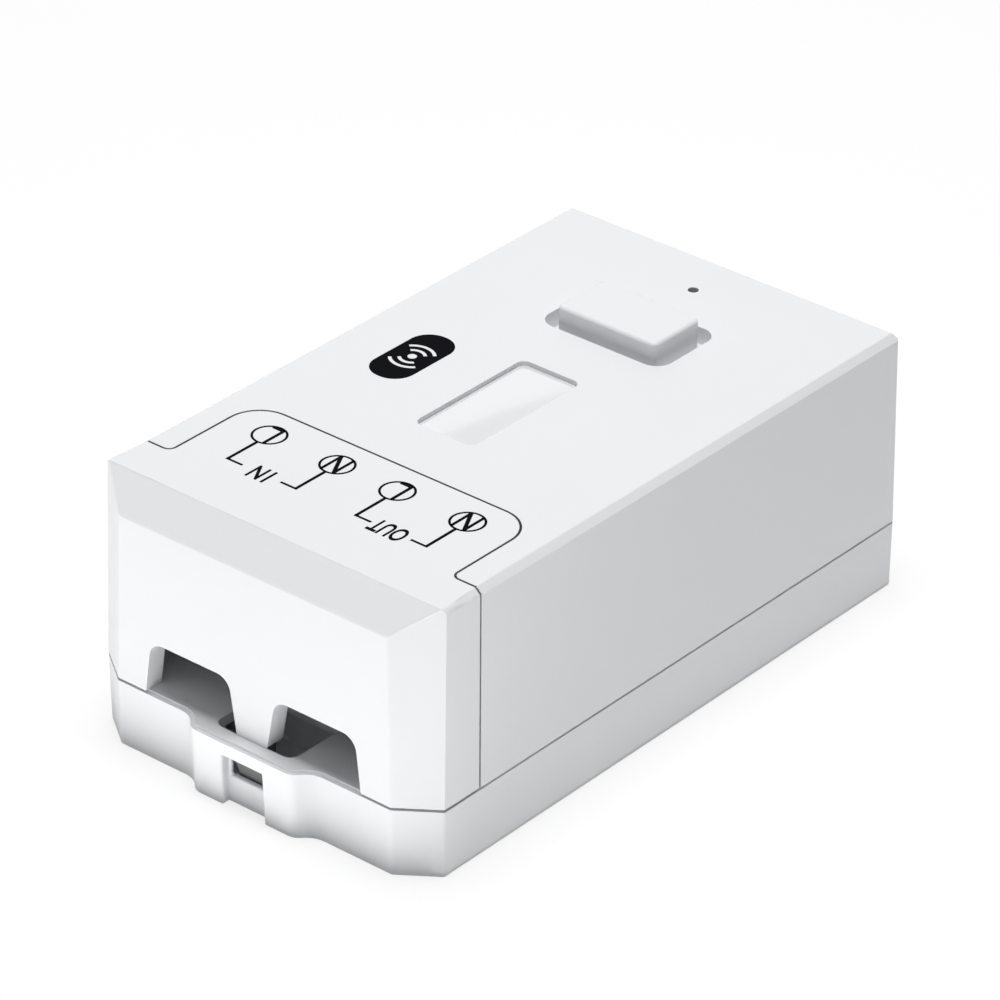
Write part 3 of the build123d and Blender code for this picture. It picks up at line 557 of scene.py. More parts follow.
def make_finish(key):
    """Every finish of the receiver by its name."""
    shells = bpy.context.scene.receiver_shells
    white, grain = tuple(shells.colour), shells.grain_size
    ink = tuple(bpy.context.scene.receiver_marks.ink_colour)
    makers = {
        "shell": lambda: moulded("shell_satin", white, 0.42, grain),
        # Painted shade: a darker tone of the white for the walls deep in the seams and in the pinhole bore
        "seam": lambda: moulded("seam_painted_shade", toned(white, -0.5), 0.6, grain),
        # Painted shade: the tongue's near-black tone stands in for the shade behind the release window
        "tongue": lambda: moulded("tongue_painted_shade", (0.115, 0.115, 0.118), 0.5, 0.3 * MM, 0.006 * MM, 0.05),
        "button": lambda: moulded("button_satin", white, 0.36, grain, 0.003 * MM),
        "lens": lambda: moulded("lens_milky", tuple(shells.lens_colour), 0.4, 5 * MM, 0.001 * MM,
                                coat_weight=1.0, coat_roughness=0.03),
        "ink": lambda: printed("pad_ink", ink),
        "black": lambda: moulded("black_nylon", (0.018, 0.018, 0.019), 0.45, 0.3 * MM, 0.008 * MM, 0.1),
        "black_smooth": lambda: moulded("black_smooth", (0.012, 0.012, 0.013), 0.34, 0.2 * MM, 0.003 * MM,
                                        0.1),
        "red": lambda: moulded("red_nylon", (0.42, 0.02, 0.015), 0.4, 0.3 * MM),
        "grey": lambda: moulded("terminal_nylon", (0.11, 0.115, 0.12), 0.5, 0.3 * MM, 0.01 * MM, 0.05),
        "yellow": lambda: moulded("capacitor_box", (0.72, 0.47, 0.03), 0.4, 0.4 * MM, 0.006 * MM),
        "tape": lambda: taped("winding_tape", (0.75, 0.5, 0.03)),
        "shroud": lambda: moulded("shroud_white", (0.8, 0.8, 0.8), 0.5, 0.4 * MM, 0.005 * MM),
        "mask": lambda: solder_mask("board_lacquer", (0.01, 0.1, 0.03)),
        "ferrite": lambda: moulded("ground_ferrite", (0.02, 0.02, 0.023), 0.6, 0.12 * MM, 0.01 * MM, 0.25),
        "sleeve": lambda: dipped("shrunk_sleeve", (0.008, 0.01, 0.03)),
        "epoxy_blue": lambda: dipped("epoxy_blue", (0.01, 0.05, 0.3), 0.3, 2 * MM, 0.06 * MM),
        "epoxy_brown": lambda: dipped("fuse_brown", (0.05, 0.012, 0.006), 0.22, 4 * MM, 0.01 * MM),
        "choke": lambda: dipped("choke_sleeve", (0.012, 0.012, 0.012), 0.3, 1.2 * MM, 0.04 * MM),
        "zinc": lambda: plated("zinc_plate", (0.6, 0.6, 0.58), 0.32),
        "zinc_bright": lambda: plated("zinc_bright", (0.66, 0.66, 0.65), 0.24),
        "brass": lambda: plated("tinned_brass", (0.65, 0.45, 0.16), 0.28, (1, 8, 1)),
        "tin": lambda: plated("tinned_can", (0.68, 0.68, 0.69), 0.3, (1, 8, 1), 0.4 * MM),
        "copper_wire": lambda: plated("tinned_wire", (0.66, 0.6, 0.55), 0.26, (1, 1, 1)),
        "led": lambda: moulded("led_dome", (0.8, 0.76, 0.55), 0.12, 2 * MM, 0.001 * MM, 0.03,
                               coat_weight=1.0),
    }
    return makers[key]()


# Geometry node trees

def start_tree(name, inputs):
    """Geometry node tree with named inputs, whose kinds follow from their defaults."""
    tree = bpy.data.node_groups.new(name, "GeometryNodeTree")
    tree.interface.new_socket("Geometry", in_out="INPUT", socket_type="NodeSocketGeometry")
    for label, value in inputs.items():
        kind = {bool: "Bool", int: "Int", float: "Float", tuple: "Rotation"}[type(value)]
        socket = tree.interface.new_socket(label, in_out="INPUT", socket_type="NodeSocket" + kind)
        socket.default_value = value
    tree.interface.new_socket("Geometry", in_out="OUTPUT", socket_type="NodeSocketGeometry")
    return tree, put(tree, "NodeGroupInput").outputs


def end_tree(tree, geometry, material):
    """Close the tree with real geometry in one material."""
    real = made(tree, "GeometryNodeRealizeInstances", {"Geometry": geometry})
    painted = made(tree, "GeometryNodeSetMaterial", {"Geometry": real, "Material": material})
    put(tree, "NodeGroupOutput", {"Geometry": painted})
    return tree


def vector(tree, x=0.0, y=0.0, z=0.0):
    """Vector from three numbers or sockets."""
    return put(tree, "ShaderNodeCombineXYZ", {"X": x, "Y": y, "Z": z}).outputs[0]


def moved(tree, geometry, x=0.0, z=0.0):
    """Geometry moved along x and z by numbers or sockets."""
    return made(tree, "GeometryNodeTransform", {"Geometry": geometry, "Translation": vector(tree, x, z=z)})


def merged(tree, *parts):
    """Several geometries in one."""
    node = put(tree, "GeometryNodeJoinGeometry")
    for part in reversed(parts):
        tree.links.new(part, node.inputs[0])
    return node.outputs[0]


def made(tree, kind, inputs=None, **settings):
    """What a new node gives."""
    return put(tree, kind, inputs, **settings).outputs[0]


def on_points(tree, points, instance, turn=(0, 0, 0)):
    """The instance at every point, turned."""
    return made(tree, "GeometryNodeInstanceOnPoints",
                {"Points": points, "Instance": instance, "Rotation": turn})


def turn_from(tree, label):
    """Turn about z by the number that each point carries."""
    return vector(tree, z=made(tree, "GeometryNodeInputNamedAttribute", {"Name": label}, data_type="FLOAT"))


def grown(name, points, tree, values=None, attributes=None):
    """Plain mesh that a tree makes on the given points."""
    mesh = bpy.data.meshes.new(name)
    mesh.from_pydata(points, [], [])
    for label, numbers in (attributes or {}).items():
        mesh.attributes.new(label, "FLOAT", "POINT").data.foreach_set("value", numbers)
    obj = new_object(name, mesh)
    modifier = obj.modifiers.new("build", "NODES")
    modifier.node_group = tree
    for item in tree.interface.items_tree:
        if item.in_out == "INPUT" and item.name in (values or {}):
            modifier[item.identifier] = values[item.name]
    return make_plain(obj)


def line_strip(tree, start, end, width, height):
    """Flat bar along a straight line, as wide and high as asked."""
    line = made(tree, "GeometryNodeCurvePrimitiveLine", {"Start": start, "End": end})
    return swept(tree, line, width, height)


def swept(tree, curve, width, height):
    """Flat bar along a curve in the plane."""
    section = made(tree, "GeometryNodeCurvePrimitiveQuadrilateral", {"Width": width, "Height": height})
    return pipe(tree, curve, section)


def pipe(tree, curve, profile):
    """Solid that has the profile all along the curve."""
    return made(tree, "GeometryNodeCurveToMesh",
                {"Curve": curve, "Profile Curve": profile, "Fill Caps": True})


def terminal_mark_tree(ink):
    """Ring with a leader and its foot at every terminal; foot_turn turns the foot to either side."""
    tree, given = start_tree("terminal_marks", {
        "Ring radius": 2 * MM, "Ring line": 0.3 * MM, "Leader line": 0.42 * MM, "Leader length": 5 * MM,
        "Foot length": 2.2 * MM, "Foot line": 0.34 * MM, "Ink height": 0.02 * MM,
    })
    radius, height = given["Ring radius"], given["Ink height"]
    circle = made(tree, "GeometryNodeCurvePrimitiveCircle", {"Resolution": 72, "Radius": radius})
    ring = swept(tree, circle, given["Ring line"], height)
    top = calc(tree, "MULTIPLY", radius, -1.0)
    end = calc(tree, "SUBTRACT", top, given["Leader length"])
    leader = line_strip(tree, vector(tree, y=top), vector(tree, y=end), given["Leader line"], height)
    half_line = calc(tree, "MULTIPLY", given["Leader line"], -0.5)
    foot = line_strip(tree, vector(tree, x=half_line), vector(tree, x=given["Foot length"]),
                      given["Foot line"], height)
    lowered = made(tree, "GeometryNodeSetPosition",
                   {"Geometry": given["Geometry"], "Offset": vector(tree, y=end)})
    feet = on_points(tree, lowered, foot, turn_from(tree, "foot_turn"))
    marks = on_points(tree, given["Geometry"], merged(tree, ring, leader))
    return end_tree(tree, merged(tree, marks, feet), ink)


def screw_tree(metal):
    """Threaded screw at every point: head above the point, shank below, with a slot or a cross."""
    tree, given = start_tree("threaded_screws", {
        "Shank radius": 1.75 * MM, "Shank length": 7 * MM, "Pitch": 0.6 * MM, "Thread depth": 0.25 * MM,
        "Head radius": 2.4 * MM, "Head height": CLAMP_HEAD, "Chamfer": 0.3 * MM, "Slot width": 0.9 * MM,
        "Slot depth": 0.9 * MM, "Slot length": 6 * MM, "Cross": False, "Facets": 40, "Turn": (0, 0, 0),
    })
    length, pitch, depth = given["Shank length"], given["Pitch"], given["Thread depth"]
    core_radius = calc(tree, "SUBTRACT", given["Shank radius"], depth)
    core = made(tree, "GeometryNodeMeshCylinder",
                {"Vertices": given["Facets"], "Radius": core_radius, "Depth": length})
    core = moved(tree, core, z=calc(tree, "MULTIPLY", length, -0.5))
    run = calc(tree, "SUBTRACT", length, calc(tree, "MULTIPLY", pitch, 2 * THREAD_CLEAR))
    spiral = made(tree, "GeometryNodeCurveSpiral", {
        "Resolution": 24, "Rotations": calc(tree, "DIVIDE", run, pitch),
        "Start Radius": core_radius, "End Radius": core_radius, "Height": run})
    crest = made(tree, "GeometryNodeCurvePrimitiveCircle", {"Resolution": 4, "Radius": depth})
    thread = pipe(tree, spiral, crest)
    lift = calc(tree, "SUBTRACT", calc(tree, "MULTIPLY", pitch, THREAD_CLEAR), length)
    parts = merged(tree, core, moved(tree, thread, z=lift), screw_head(tree, given))
    return end_tree(tree, on_points(tree, given["Geometry"], parts, given["Turn"]), metal)


def screw_head(tree, given):
    """Closed cylinder with a chamfered rim and its slot or cross cut out."""
    facets, chamfer = given["Facets"], given["Chamfer"]
    wide, tall = given["Head radius"], given["Head height"]
    narrow = calc(tree, "SUBTRACT", wide, chamfer)
    wall_height = calc(tree, "SUBTRACT", tall, chamfer)
    wall = made(tree, "GeometryNodeMeshCylinder",
                {"Vertices": facets, "Radius": wide, "Depth": wall_height}, fill_type="NONE")
    rim = made(tree, "GeometryNodeMeshCone", {
        "Vertices": facets, "Radius Top": narrow, "Radius Bottom": wide, "Depth": chamfer}, fill_type="NONE")
    crown, seat = (
        made(tree, "GeometryNodeMeshCircle", {"Vertices": facets, "Radius": radius}, fill_type="NGON")
        for radius in (narrow, wide)
    )
    parts = merged(tree, moved(tree, wall, z=calc(tree, "MULTIPLY", wall_height, 0.5)),
                   moved(tree, rim, z=wall_height), moved(tree, crown, z=tall),
                   made(tree, "GeometryNodeFlipFaces", {"Mesh": seat}))
    closed = made(tree, "GeometryNodeMergeByDistance", {"Geometry": parts, "Distance": 0.002 * MM})
    slotted = slotted_once(tree, given, closed, given["Slot length"], given["Slot width"])
    crossed = slotted_once(tree, given, slotted, given["Slot width"], given["Slot length"])
    return made(tree, "GeometryNodeSwitch", {"Switch": given["Cross"], "False": slotted, "True": crossed},
                input_type="GEOMETRY")


def slotted_once(tree, given, head, x_size, y_size):
    """The head less a block that cuts one slot to its depth."""
    tall = calc(tree, "MULTIPLY", given["Slot depth"], 2.0)
    block = made(tree, "GeometryNodeMeshCube", {"Size": vector(tree, x_size, y_size, tall)})
    cutter = moved(tree, block, z=given["Head height"])
    return made(tree, "GeometryNodeMeshBoolean", {"Mesh 1": head, "Mesh 2": cutter},
                operation="DIFFERENCE", solver="EXACT")


# Operators

class RECEIVER_OT_stage(bpy.types.Operator):
    """Camera, lamps, sky and floor"""

    bl_idname = "receiver.stage"
    bl_label = "Stage"

    def execute(self, context):
        stage = context.scene.receiver_stage
        context.scene.view_settings.view_transform = "Standard"
        place_camera(context, stage)
        for name, azimuth, elevation, power, size in LAMPS:
            back = outward(math.radians(azimuth), math.radians(elevation))
            add_lamp(name, back * LAMP_DISTANCE, back, power, (size, size))
        for name, x, y, power, size in TABLE_LAMPS:
            lamp = add_lamp(name, Vector((x, y, TABLE_LIFT)), Vector((0, 0, -1)), power, size)
            lamp.visible_camera = False
        add_glint()
        light_sky(context, stage)
        lay_floor(stage)
        return {"FINISHED"}


# Name, azimuth and elevation in degrees, power, size
LAMPS = [
    ("overhead", 0, 89, 2.5, 0.26),
    ("back_rim", 210, 45, 0.25, 0.6),
]
# Name, x, y, power, size; they lie on the floor and shine up
TABLE_LAMPS = [
    ("table_front", 0, -296 * MM, 0.565, (0.3, 0.5)),
    ("table_left", -120 * MM, -290 * MM, 0.05, (0.15, 0.5)),
    ("table_right", 274 * MM, 0, 0.19, (0.5, 0.5)),
]
LAMP_DISTANCE = 0.6
TABLE_LIFT = 0.5 * MM
GLINT_FROM = (math.radians(219.2), math.radians(30.4))
GLINT_PLACE = (5.3 * MM, -22.1 * MM, 0)
GLINT_TURN = math.radians(22.4)
GLINT_SIZE = (0.05, 0.03)
GLINT_POWER = 0.0055
FLOOR_REACH = 2.0
FLOOR_SEEN = 0.3
FLOOR_GLOW = 0.74


def outward(azimuth, elevation):
    """Direction from the object, by its turn and its height angle."""
    return Vector((math.sin(azimuth) * math.cos(elevation), -math.cos(azimuth) * math.cos(elevation),
                   math.sin(elevation)))


def add_glint():
    """Small lamp that only shines back from gloss: the brighter corner of the indicator window."""
    back = outward(*GLINT_FROM)
    lamp = add_lamp("window_glint", back * LAMP_DISTANCE, back, GLINT_POWER, GLINT_SIZE)
    x, y, _ = middle_of("window_lens")
    shift = Vector((x, y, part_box("window_lens")[1].z))
    turned = Matrix.Translation(GLINT_PLACE) @ Matrix.Rotation(GLINT_TURN, 4, "Z")
    lamp.matrix_world = Matrix.Translation(shift) @ lamp.matrix_world @ turned
    lamp.visible_camera = False
    lamp.visible_diffuse = False


def place_camera(context, stage):
    """Camera at the photograph's place, turn and lens."""
    back = outward(stage.azimuth, stage.elevation)
    right = Vector((math.cos(stage.azimuth), math.sin(stage.azimuth), 0))
    up = back.cross(right)
    columns = [
        math.cos(stage.roll) * right + math.sin(stage.roll) * up,
        -math.sin(stage.roll) * right + math.cos(stage.roll) * up,
        back,
    ]
    data = bpy.data.cameras.new("photo_camera")
    data.lens = stage.focal_length
    data.sensor_width = 36
    data.clip_start = 0.01
    camera = new_object("photo_camera", data)
    camera.matrix_world = Matrix.Translation(stage.camera_place) @ Matrix(columns).transposed().to_4x4()
    context.scene.camera = camera


def add_lamp(name, place, back, power, size):
    """Soft lamp at a place, with its dark side towards the given direction."""
    data = bpy.data.lights.new(name, "AREA")
    data.shape = "RECTANGLE"
    data.energy = power
    data.size, data.size_y = size
    lamp = new_object(name, data)
    lamp.matrix_world = Matrix.Translation(place) @ back.to_track_quat("Z", "Y").to_matrix().to_4x4()
    return lamp


def seen_ray(tree):
    """One for the rays that should find a white background, nought for the rest."""
    path = put(tree, "ShaderNodeLightPath").outputs
    either = calc(tree, "MAXIMUM", path["Is Camera Ray"], path["Is Glossy Ray"])
    return calc(tree, "MAXIMUM", either, path["Is Transmission Ray"])


def light_sky(context, stage):
    """Even sky light, and a white background for what the camera sees."""
    world = bpy.data.worlds.new("studio")
    context.scene.world = world
    world.use_nodes = True
    tree = world.node_tree
    background = tree.nodes["Background"]
    background.inputs["Color"].default_value = (1, 1, 1, 1)
    strength = put(tree, "ShaderNodeMapRange", {"Value": seen_ray(tree), "To Min": stage.sky, "To Max": 1.0})
    tree.links.new(strength.outputs["Result"], background.inputs["Strength"])


def lay_floor(stage):
    """Pale floor that keeps the shadow and runs into the white background."""
    mesh = bpy.data.meshes.new("floor")
    corners = [(x * FLOOR_REACH, y * FLOOR_REACH, 0) for x, y in ((-1, -1), (1, -1), (1, 1), (-1, 1))]
    mesh.from_pydata(corners, [], [(0, 1, 2, 3)])
    material = bpy.data.materials.new("floor_white")
    material.use_nodes = True
    tree = material.node_tree
    tree.nodes.remove(tree.nodes["Principled BSDF"])
    plain, pale = (put(tree, "ShaderNodeBsdfDiffuse", {"Color": (tone, tone, tone, 1)}).outputs[0]
                   for tone in (stage.floor_tone, FLOOR_SEEN))
    glow = put(tree, "ShaderNodeEmission", {"Color": (1, 1, 1, 1), "Strength": FLOOR_GLOW}).outputs[0]
    seen = put(tree, "ShaderNodeAddShader", {0: pale, 1: glow}).outputs[0]
    mix = put(tree, "ShaderNodeMixShader", {0: seen_ray(tree), 1: plain, 2: seen}).outputs[0]
    tree.links.new(mix, tree.nodes["Material Output"].inputs["Surface"])
    mesh.materials.append(material)
    new_object("floor", mesh)


class RECEIVER_OT_shells(bpy.types.Operator):
    """Base, housing, terminal cover and its latch, with softened edges, moulded grain and painted shade in
    the seams, the pinhole and on the latch tongue
    """

    bl_idname = "receiver.shells"
    bl_label = "Shells"

    def execute(self, context):
        radius = context.scene.receiver_shells.edge_softness
        for node, name in SHELLS.items():
            others = [other for other in SHELLS if other != node]
            shell = soft_copy(node, name, "shell", radius, others)
            # The second slot is painted shade on the walls across a seam, by the button and in the pinhole
            shell.data.materials.append(finish("seam"))
            shade_seams(shell, [*others, "push_button"])
            if node == "upper_housing":
                # Painted shade inside the pinhole bore
                shade_pinhole(shell)
        # The latch tongue is near black as painted shade, so the release window reads deep and shaded
        soft_copy("cover_latch", "latch_tongue", "tongue", radius / 2)
        return {"FINISHED"}


class RECEIVER_OT_controls(bpy.types.Operator):
    """Indicator window and push button"""

    bl_idname = "receiver.controls"
    bl_label = "Window and button"

    def execute(self, context):
        radius = context.scene.receiver_shells.edge_softness
        soft_copy("window_lens", "milky_lens", "lens", radius / 2)
        soft_copy("push_button", "button_cap", "button", radius / 2)
        return {"FINISHED"}


class RECEIVER_OT_marks(bpy.types.Operator):
    """Printed terminal marks on the cover, and the radio sign on the housing"""

    bl_idname = "receiver.marks"
    bl_label = "Printed marks"

    def execute(self, context):
        marks = context.scene.receiver_marks
        add_terminal_marks(marks)
        add_radio_sign(marks)
        return {"FINISHED"}


POLE_XS = [middle_of(f"terminal_screw_{number}")[0] for number in (1, 2, 3, 4)]
RING_Y = FRONT_Y + 19.4 * MM
WORD_Y = FRONT_Y + 12.3 * MM
WORD_WEIGHT = 0.02
LETTER_SHARE = 1.9
# Text, weight, narrowing
RING_LETTERS = 2 * [("L", 0.002, 0.78), ("N", 0.018, 0.6)]
# Text, x, narrowing, spacing
WORDS = [("IN", -9.4 * MM, 0.64, 1.25), ("OUT", 9.2 * MM, 0.58, 1.0)]


def add_terminal_marks(marks):
    """Four rings with letters and leaders, and the words for the two sides."""
    points = [(x, RING_Y, TOP + marks.ink_height / 2) for x in POLE_XS]
    labels = ("Ring radius", "Ring line", "Leader line", "Leader length", "Foot length", "Ink height")
    values = {label: getattr(marks, label.lower().replace(" ", "_")) for label in labels}
    rings = grown("terminal_rings", points, terminal_mark_tree(finish("ink")), values,
                  {"foot_turn": [0, math.pi, 0, math.pi]})
    ink, height = marks.ink_height, marks.ring_radius * LETTER_SHARE
    letters = [lettering(text, height, (x, RING_Y), weight, narrowing, ink)
               for (text, weight, narrowing), x in zip(RING_LETTERS, POLE_XS)]
    words = [lettering(text, marks.word_height, (x, WORD_Y), WORD_WEIGHT, narrowing, ink, spacing)
             for text, x, narrowing, spacing in WORDS]
    settle(joined("terminal_marks", [rings, *letters, *words]), "terminal_cover", finish("ink"))


def lettering(text, height, centre, weight, narrowing, thickness, spacing=1.0):
    """Capital letters on the top that are read from the far side, centred on a place."""
    curve = bpy.data.curves.new("letters", "FONT")
    curve.body = text
    curve.offset = weight
    curve.space_character = spacing
    curve.extrude = 0.5
    curve.resolution_u = 8
    obj = make_plain(new_object("letters_" + text, curve))
    mesh = obj.data
    low, high = limits([v.co for v in mesh.vertices])
    middle = Vector([(a + b) / 2 for a, b in zip(low, high)])
    scale = height / (high[1] - low[1])
    sized = Matrix.Diagonal((scale * narrowing, scale, thickness, 1)) @ Matrix.Translation(-middle)
    place = Matrix.Translation((*centre, TOP + thickness / 2)) @ Matrix.Rotation(math.pi, 4, "Z")
    mesh.transform(place @ sized)
    shape = bmesh.new()
    shape.from_mesh(mesh)
    bmesh.ops.remove_doubles(shape, verts=shape.verts, dist=WELD_REACH / 2)
    shape.to_mesh(mesh)
    shape.free()
    return obj


SIGN_CENTRE = (-14.3 * MM, FRONT_Y + 43.8 * MM)
SIGN_LENGTH = 12.0 * MM
SIGN_WIDTH = 5.8 * MM
SIGN_ROUND = SIGN_WIDTH * 0.48
WAVE_RADII = (1.5 * MM, 2.6 * MM)
WAVE_LINE = 0.42 * MM
WAVE_SPREAD = math.radians(48)
MAST_RADIUS = 0.55 * MM
MAST_FACETS = 24
CORNER_STEPS = 16
WAVE_STEPS = 18


def add_radio_sign(marks):
    """Black rounded patch with a plain mast-and-waves sign on it."""
    ink = marks.ink_height
    patch, waves = bmesh.new(), bmesh.new()
    thick_plate(patch, rounded_outline(SIGN_LENGTH, SIGN_WIDTH, SIGN_ROUND, CORNER_STEPS), 0, ink)
    settle(placed_mesh("radio_patch", patch), "upper_housing", finish("ink"))
    for turn in (0, math.pi):
        for radius in WAVE_RADII:
            arc = arc_band(radius, WAVE_LINE, turn - WAVE_SPREAD, turn + WAVE_SPREAD, WAVE_STEPS)
            thick_plate(waves, arc, ink, ink * 2)
    turns = [2 * math.pi * i / MAST_FACETS for i in range(MAST_FACETS)]
    thick_plate(waves, [(MAST_RADIUS * math.cos(t), MAST_RADIUS * math.sin(t)) for t in turns], ink, ink * 2)
    settle(placed_mesh("radio_waves", waves), "upper_housing", finish("shell"))


def placed_mesh(name, shape):
    """Mesh drawn flat about the origin, turned to read along +y, and put at the sign's place."""
    bmesh.ops.recalc_face_normals(shape, faces=shape.faces)
    obj = mesh_object(name, shape)
    obj.data.transform(Matrix.Translation((*SIGN_CENTRE, TOP)) @ Matrix.Rotation(math.pi / 2, 4, "Z"))
    return obj


def rounded_outline(x_size, y_size, radius, steps):
    """Points round a rectangle with rounded corners."""
    points = []
    for corner in range(4):
        x = (x_size / 2 - radius) * (1, -1, -1, 1)[corner]
        y = (y_size / 2 - radius) * (1, 1, -1, -1)[corner]
        for i in range(steps + 1):
            t = math.pi / 2 * (corner + i / steps)
            points.append((x + radius * math.cos(t), y + radius * math.sin(t)))
    return points


def arc_band(radius, width, start, end, steps):
    """Points round a band that follows an arc."""
    outer = [(radius + width / 2, start + (end - start) * i / steps) for i in range(steps + 1)]
    inner = [(radius - width / 2, end + (start - end) * i / steps) for i in range(steps + 1)]
    return [(r * math.cos(t), r * math.sin(t)) for r, t in outer + inner]


def thick_plate(shape, outline, low, high):
    """Closed plate between two levels with the given outline."""
    under = [shape.verts.new((x, y, low)) for x, y in outline]
    over = [shape.verts.new((x, y, high)) for x, y in outline]
    shape.faces.new(list(reversed(under)))
    shape.faces.new(over)
    for i in range(len(outline)):
        j = (i + 1) % len(outline)
        shape.faces.new([under[i], under[j], over[j], over[i]])


class RECEIVER_OT_terminals(bpy.types.Operator):
    """Terminal block with its clamp cages, contact bars and threaded clamp screws"""

    bl_idname = "receiver.terminals"
    bl_label = "Screw terminals"

    def execute(self, context):
        screws = context.scene.receiver_screws
        soft_copy("terminal_block", "terminal_moulding", "grey", 0.15 * MM)
        soft_copy("contact_bars", "contact_strips", "brass", 0.12 * MM)
        tree = screw_tree(finish("zinc_bright"))
        for number in (1, 2, 3, 4):
            soft_copy(f"clamp_cage_{number}", f"clamp_{number}", "zinc", 0.12 * MM)
            node = f"terminal_screw_{number}"
            low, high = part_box(node)
            seat = high.z - CLAMP_HEAD
            screw = grown(f"clamp_screw_{number}", [(*middle_of(node)[:2], seat)], tree, {
                "Shank length": seat - low.z, "Pitch": screws.clamp_pitch, "Facets": screws.facets,
            })
            settle(screw, node, None, (node,))
        return {"FINISHED"}


class RECEIVER_OT_fasteners(bpy.types.Operator):
    """Case screws and board screws"""

    bl_idname = "receiver.fasteners"
    bl_label = "Screws"

    def execute(self, context):
        screws = context.scene.receiver_screws
        tree = screw_tree(finish("zinc"))
        for node, name, head, radius in (
            ("case_screws", "case_fasteners", (2.7, 2.0), 1.48),
            ("power_board_screws", "power_board_fasteners", (2.1, 1.4), 1.08),
            ("radio_board_screws", "radio_board_fasteners", (2.1, 1.4), 1.08),
        ):
            add_fasteners(screws, tree, node, name, head, radius)
        return {"FINISHED"}


def add_fasteners(screws, tree, node, name, head, radius):
    """Cross-slotted screws at the places of a CAD node's screws, the same way up."""
    head_radius, head_height = (size * MM for size in head)
    low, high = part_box(node)
    points = [v.co for v in frame["nodes"][node].data.vertices]
    wide = [p for p in points if abs(p.x) > max(abs(low.x), abs(high.x)) - HEAD_RIM]
    head_up = max(p.z for p in wide) > (low.z + high.z) / 2
    seat = high.z - head_height if head_up else low.z + head_height
    length = seat - low.z if head_up else high.z - seat
    places = []
    for x, side in ((low.x + head_radius, -1), (high.x - head_radius, 1)):
        ys = [p.y for p in points if p.x * side > 0]
        places.append((x, (min(ys) + max(ys)) / 2, seat))
    obj = grown(name, places, tree, {
        "Shank radius": radius * MM, "Shank length": length, "Pitch": screws.plastic_pitch,
        "Thread depth": 0.3 * MM, "Head radius": head_radius, "Head height": head_height, "Chamfer": 0.4 * MM,
        "Slot width": 0.6 * MM, "Slot depth": 1.0 * MM, "Slot length": head_radius * 1.2, "Cross": True,
        "Facets": screws.facets, "Turn": (0, 0, 0) if head_up else (math.pi, 0, 0),
    })
    settle(obj, node, None, (node,))


class RECEIVER_OT_boards(bpy.types.Operator):
    """Circuit boards and the header between them"""

    bl_idname = "receiver.boards"
    bl_label = "Circuit boards"

    def execute(self, context):
        soft_copy("power_board", "power_laminate", "mask", 0.1 * MM)
        soft_copy("radio_board", "radio_laminate", "mask", 0.1 * MM)
        header = soft_copy("board_header", "header_strip", "black", 0.1 * MM)
        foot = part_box("power_board")[1].z
        paint(header, "brass", lambda place, normal: not foot < place.z < foot + HEADER_PLASTIC + SAME)
        add_surface_parts()
        return {"FINISHED"}


HEADER_PLASTIC = 2.5 * MM
SMALL_SIZE = (1.6 * MM, 0.85 * MM, 0.5 * MM)
SMALL_CAP = 0.36 * MM
# x and y in millimetres, and whether the part is turned a quarter
SMALL_PLACES = [
    (8, -13.2, 0), (8, -11.6, 0), (18, -8.2, 1), (16, -8.2, 1), (14, -8.2, 1), (8.4, -7.4, 0),
    (11, -7.4, 0), (18.6, -2, 1), (18.6, 1.2, 1), (8, 7, 0), (8, 8.8, 0), (8, 10.6, 0), (12, 7, 1),
    (14, 7, 1), (16, 7, 1), (18, 7, 1), (10, 15, 0), (12.6, 15, 0), (16, 15.4, 1), (18, 15.4, 1),
    (8.6, 20, 1), (11, 21, 0), (11, 23, 0), (-8.4, 13, 1), (-8.4, 16.4, 1), (-17, 16, 0), (-17, 18, 0),
    (-7.4, 30, 0), (-10, 30, 0), (-13, 36, 1),
]


def add_surface_parts():
    """Small surface-mounted parts on the radio board: dark bodies and tinned ends."""
    board_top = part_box("radio_board")[1].z
    places = [(x * MM, y * MM, board_top) for x, y, turned in SMALL_PLACES]
    turns = {"quarter": [turned * math.pi / 2 for x, y, turned in SMALL_PLACES]}
    for name, key, cap in (("part_bodies", "black_smooth", 0), ("part_ends", "tin", SMALL_CAP)):
        small = grown(name, places, surface_part_tree(name, finish(key), cap > 0), None, turns)
        settle(small, "radio_board")


def surface_part_tree(name, material, ends):
    """Body or both end caps of a surface-mounted part at every point."""
    tree, given = start_tree(name, {**dict(zip(("Length", "Width", "Height"), SMALL_SIZE)), "Cap": SMALL_CAP})
    body = calc(tree, "SUBTRACT", given["Length"], calc(tree, "MULTIPLY", given["Cap"], 2.0))
    size = vector(tree, given["Cap"] if ends else body, given["Width"], given["Height"])
    block = made(tree, "GeometryNodeMeshCube", {"Size": size})
    lift = calc(tree, "MULTIPLY", given["Height"], 0.5)
    span = calc(tree, "SUBTRACT", given["Length"], given["Cap"])
    shares = (0.5, -0.5) if ends else (0.0,)
    blocks = [moved(tree, block, calc(tree, "MULTIPLY", span, share), lift) for share in shares]
    small = on_points(tree, given["Geometry"], merged(tree, *blocks), turn_from(tree, "quarter"))
    return end_tree(tree, small, material)


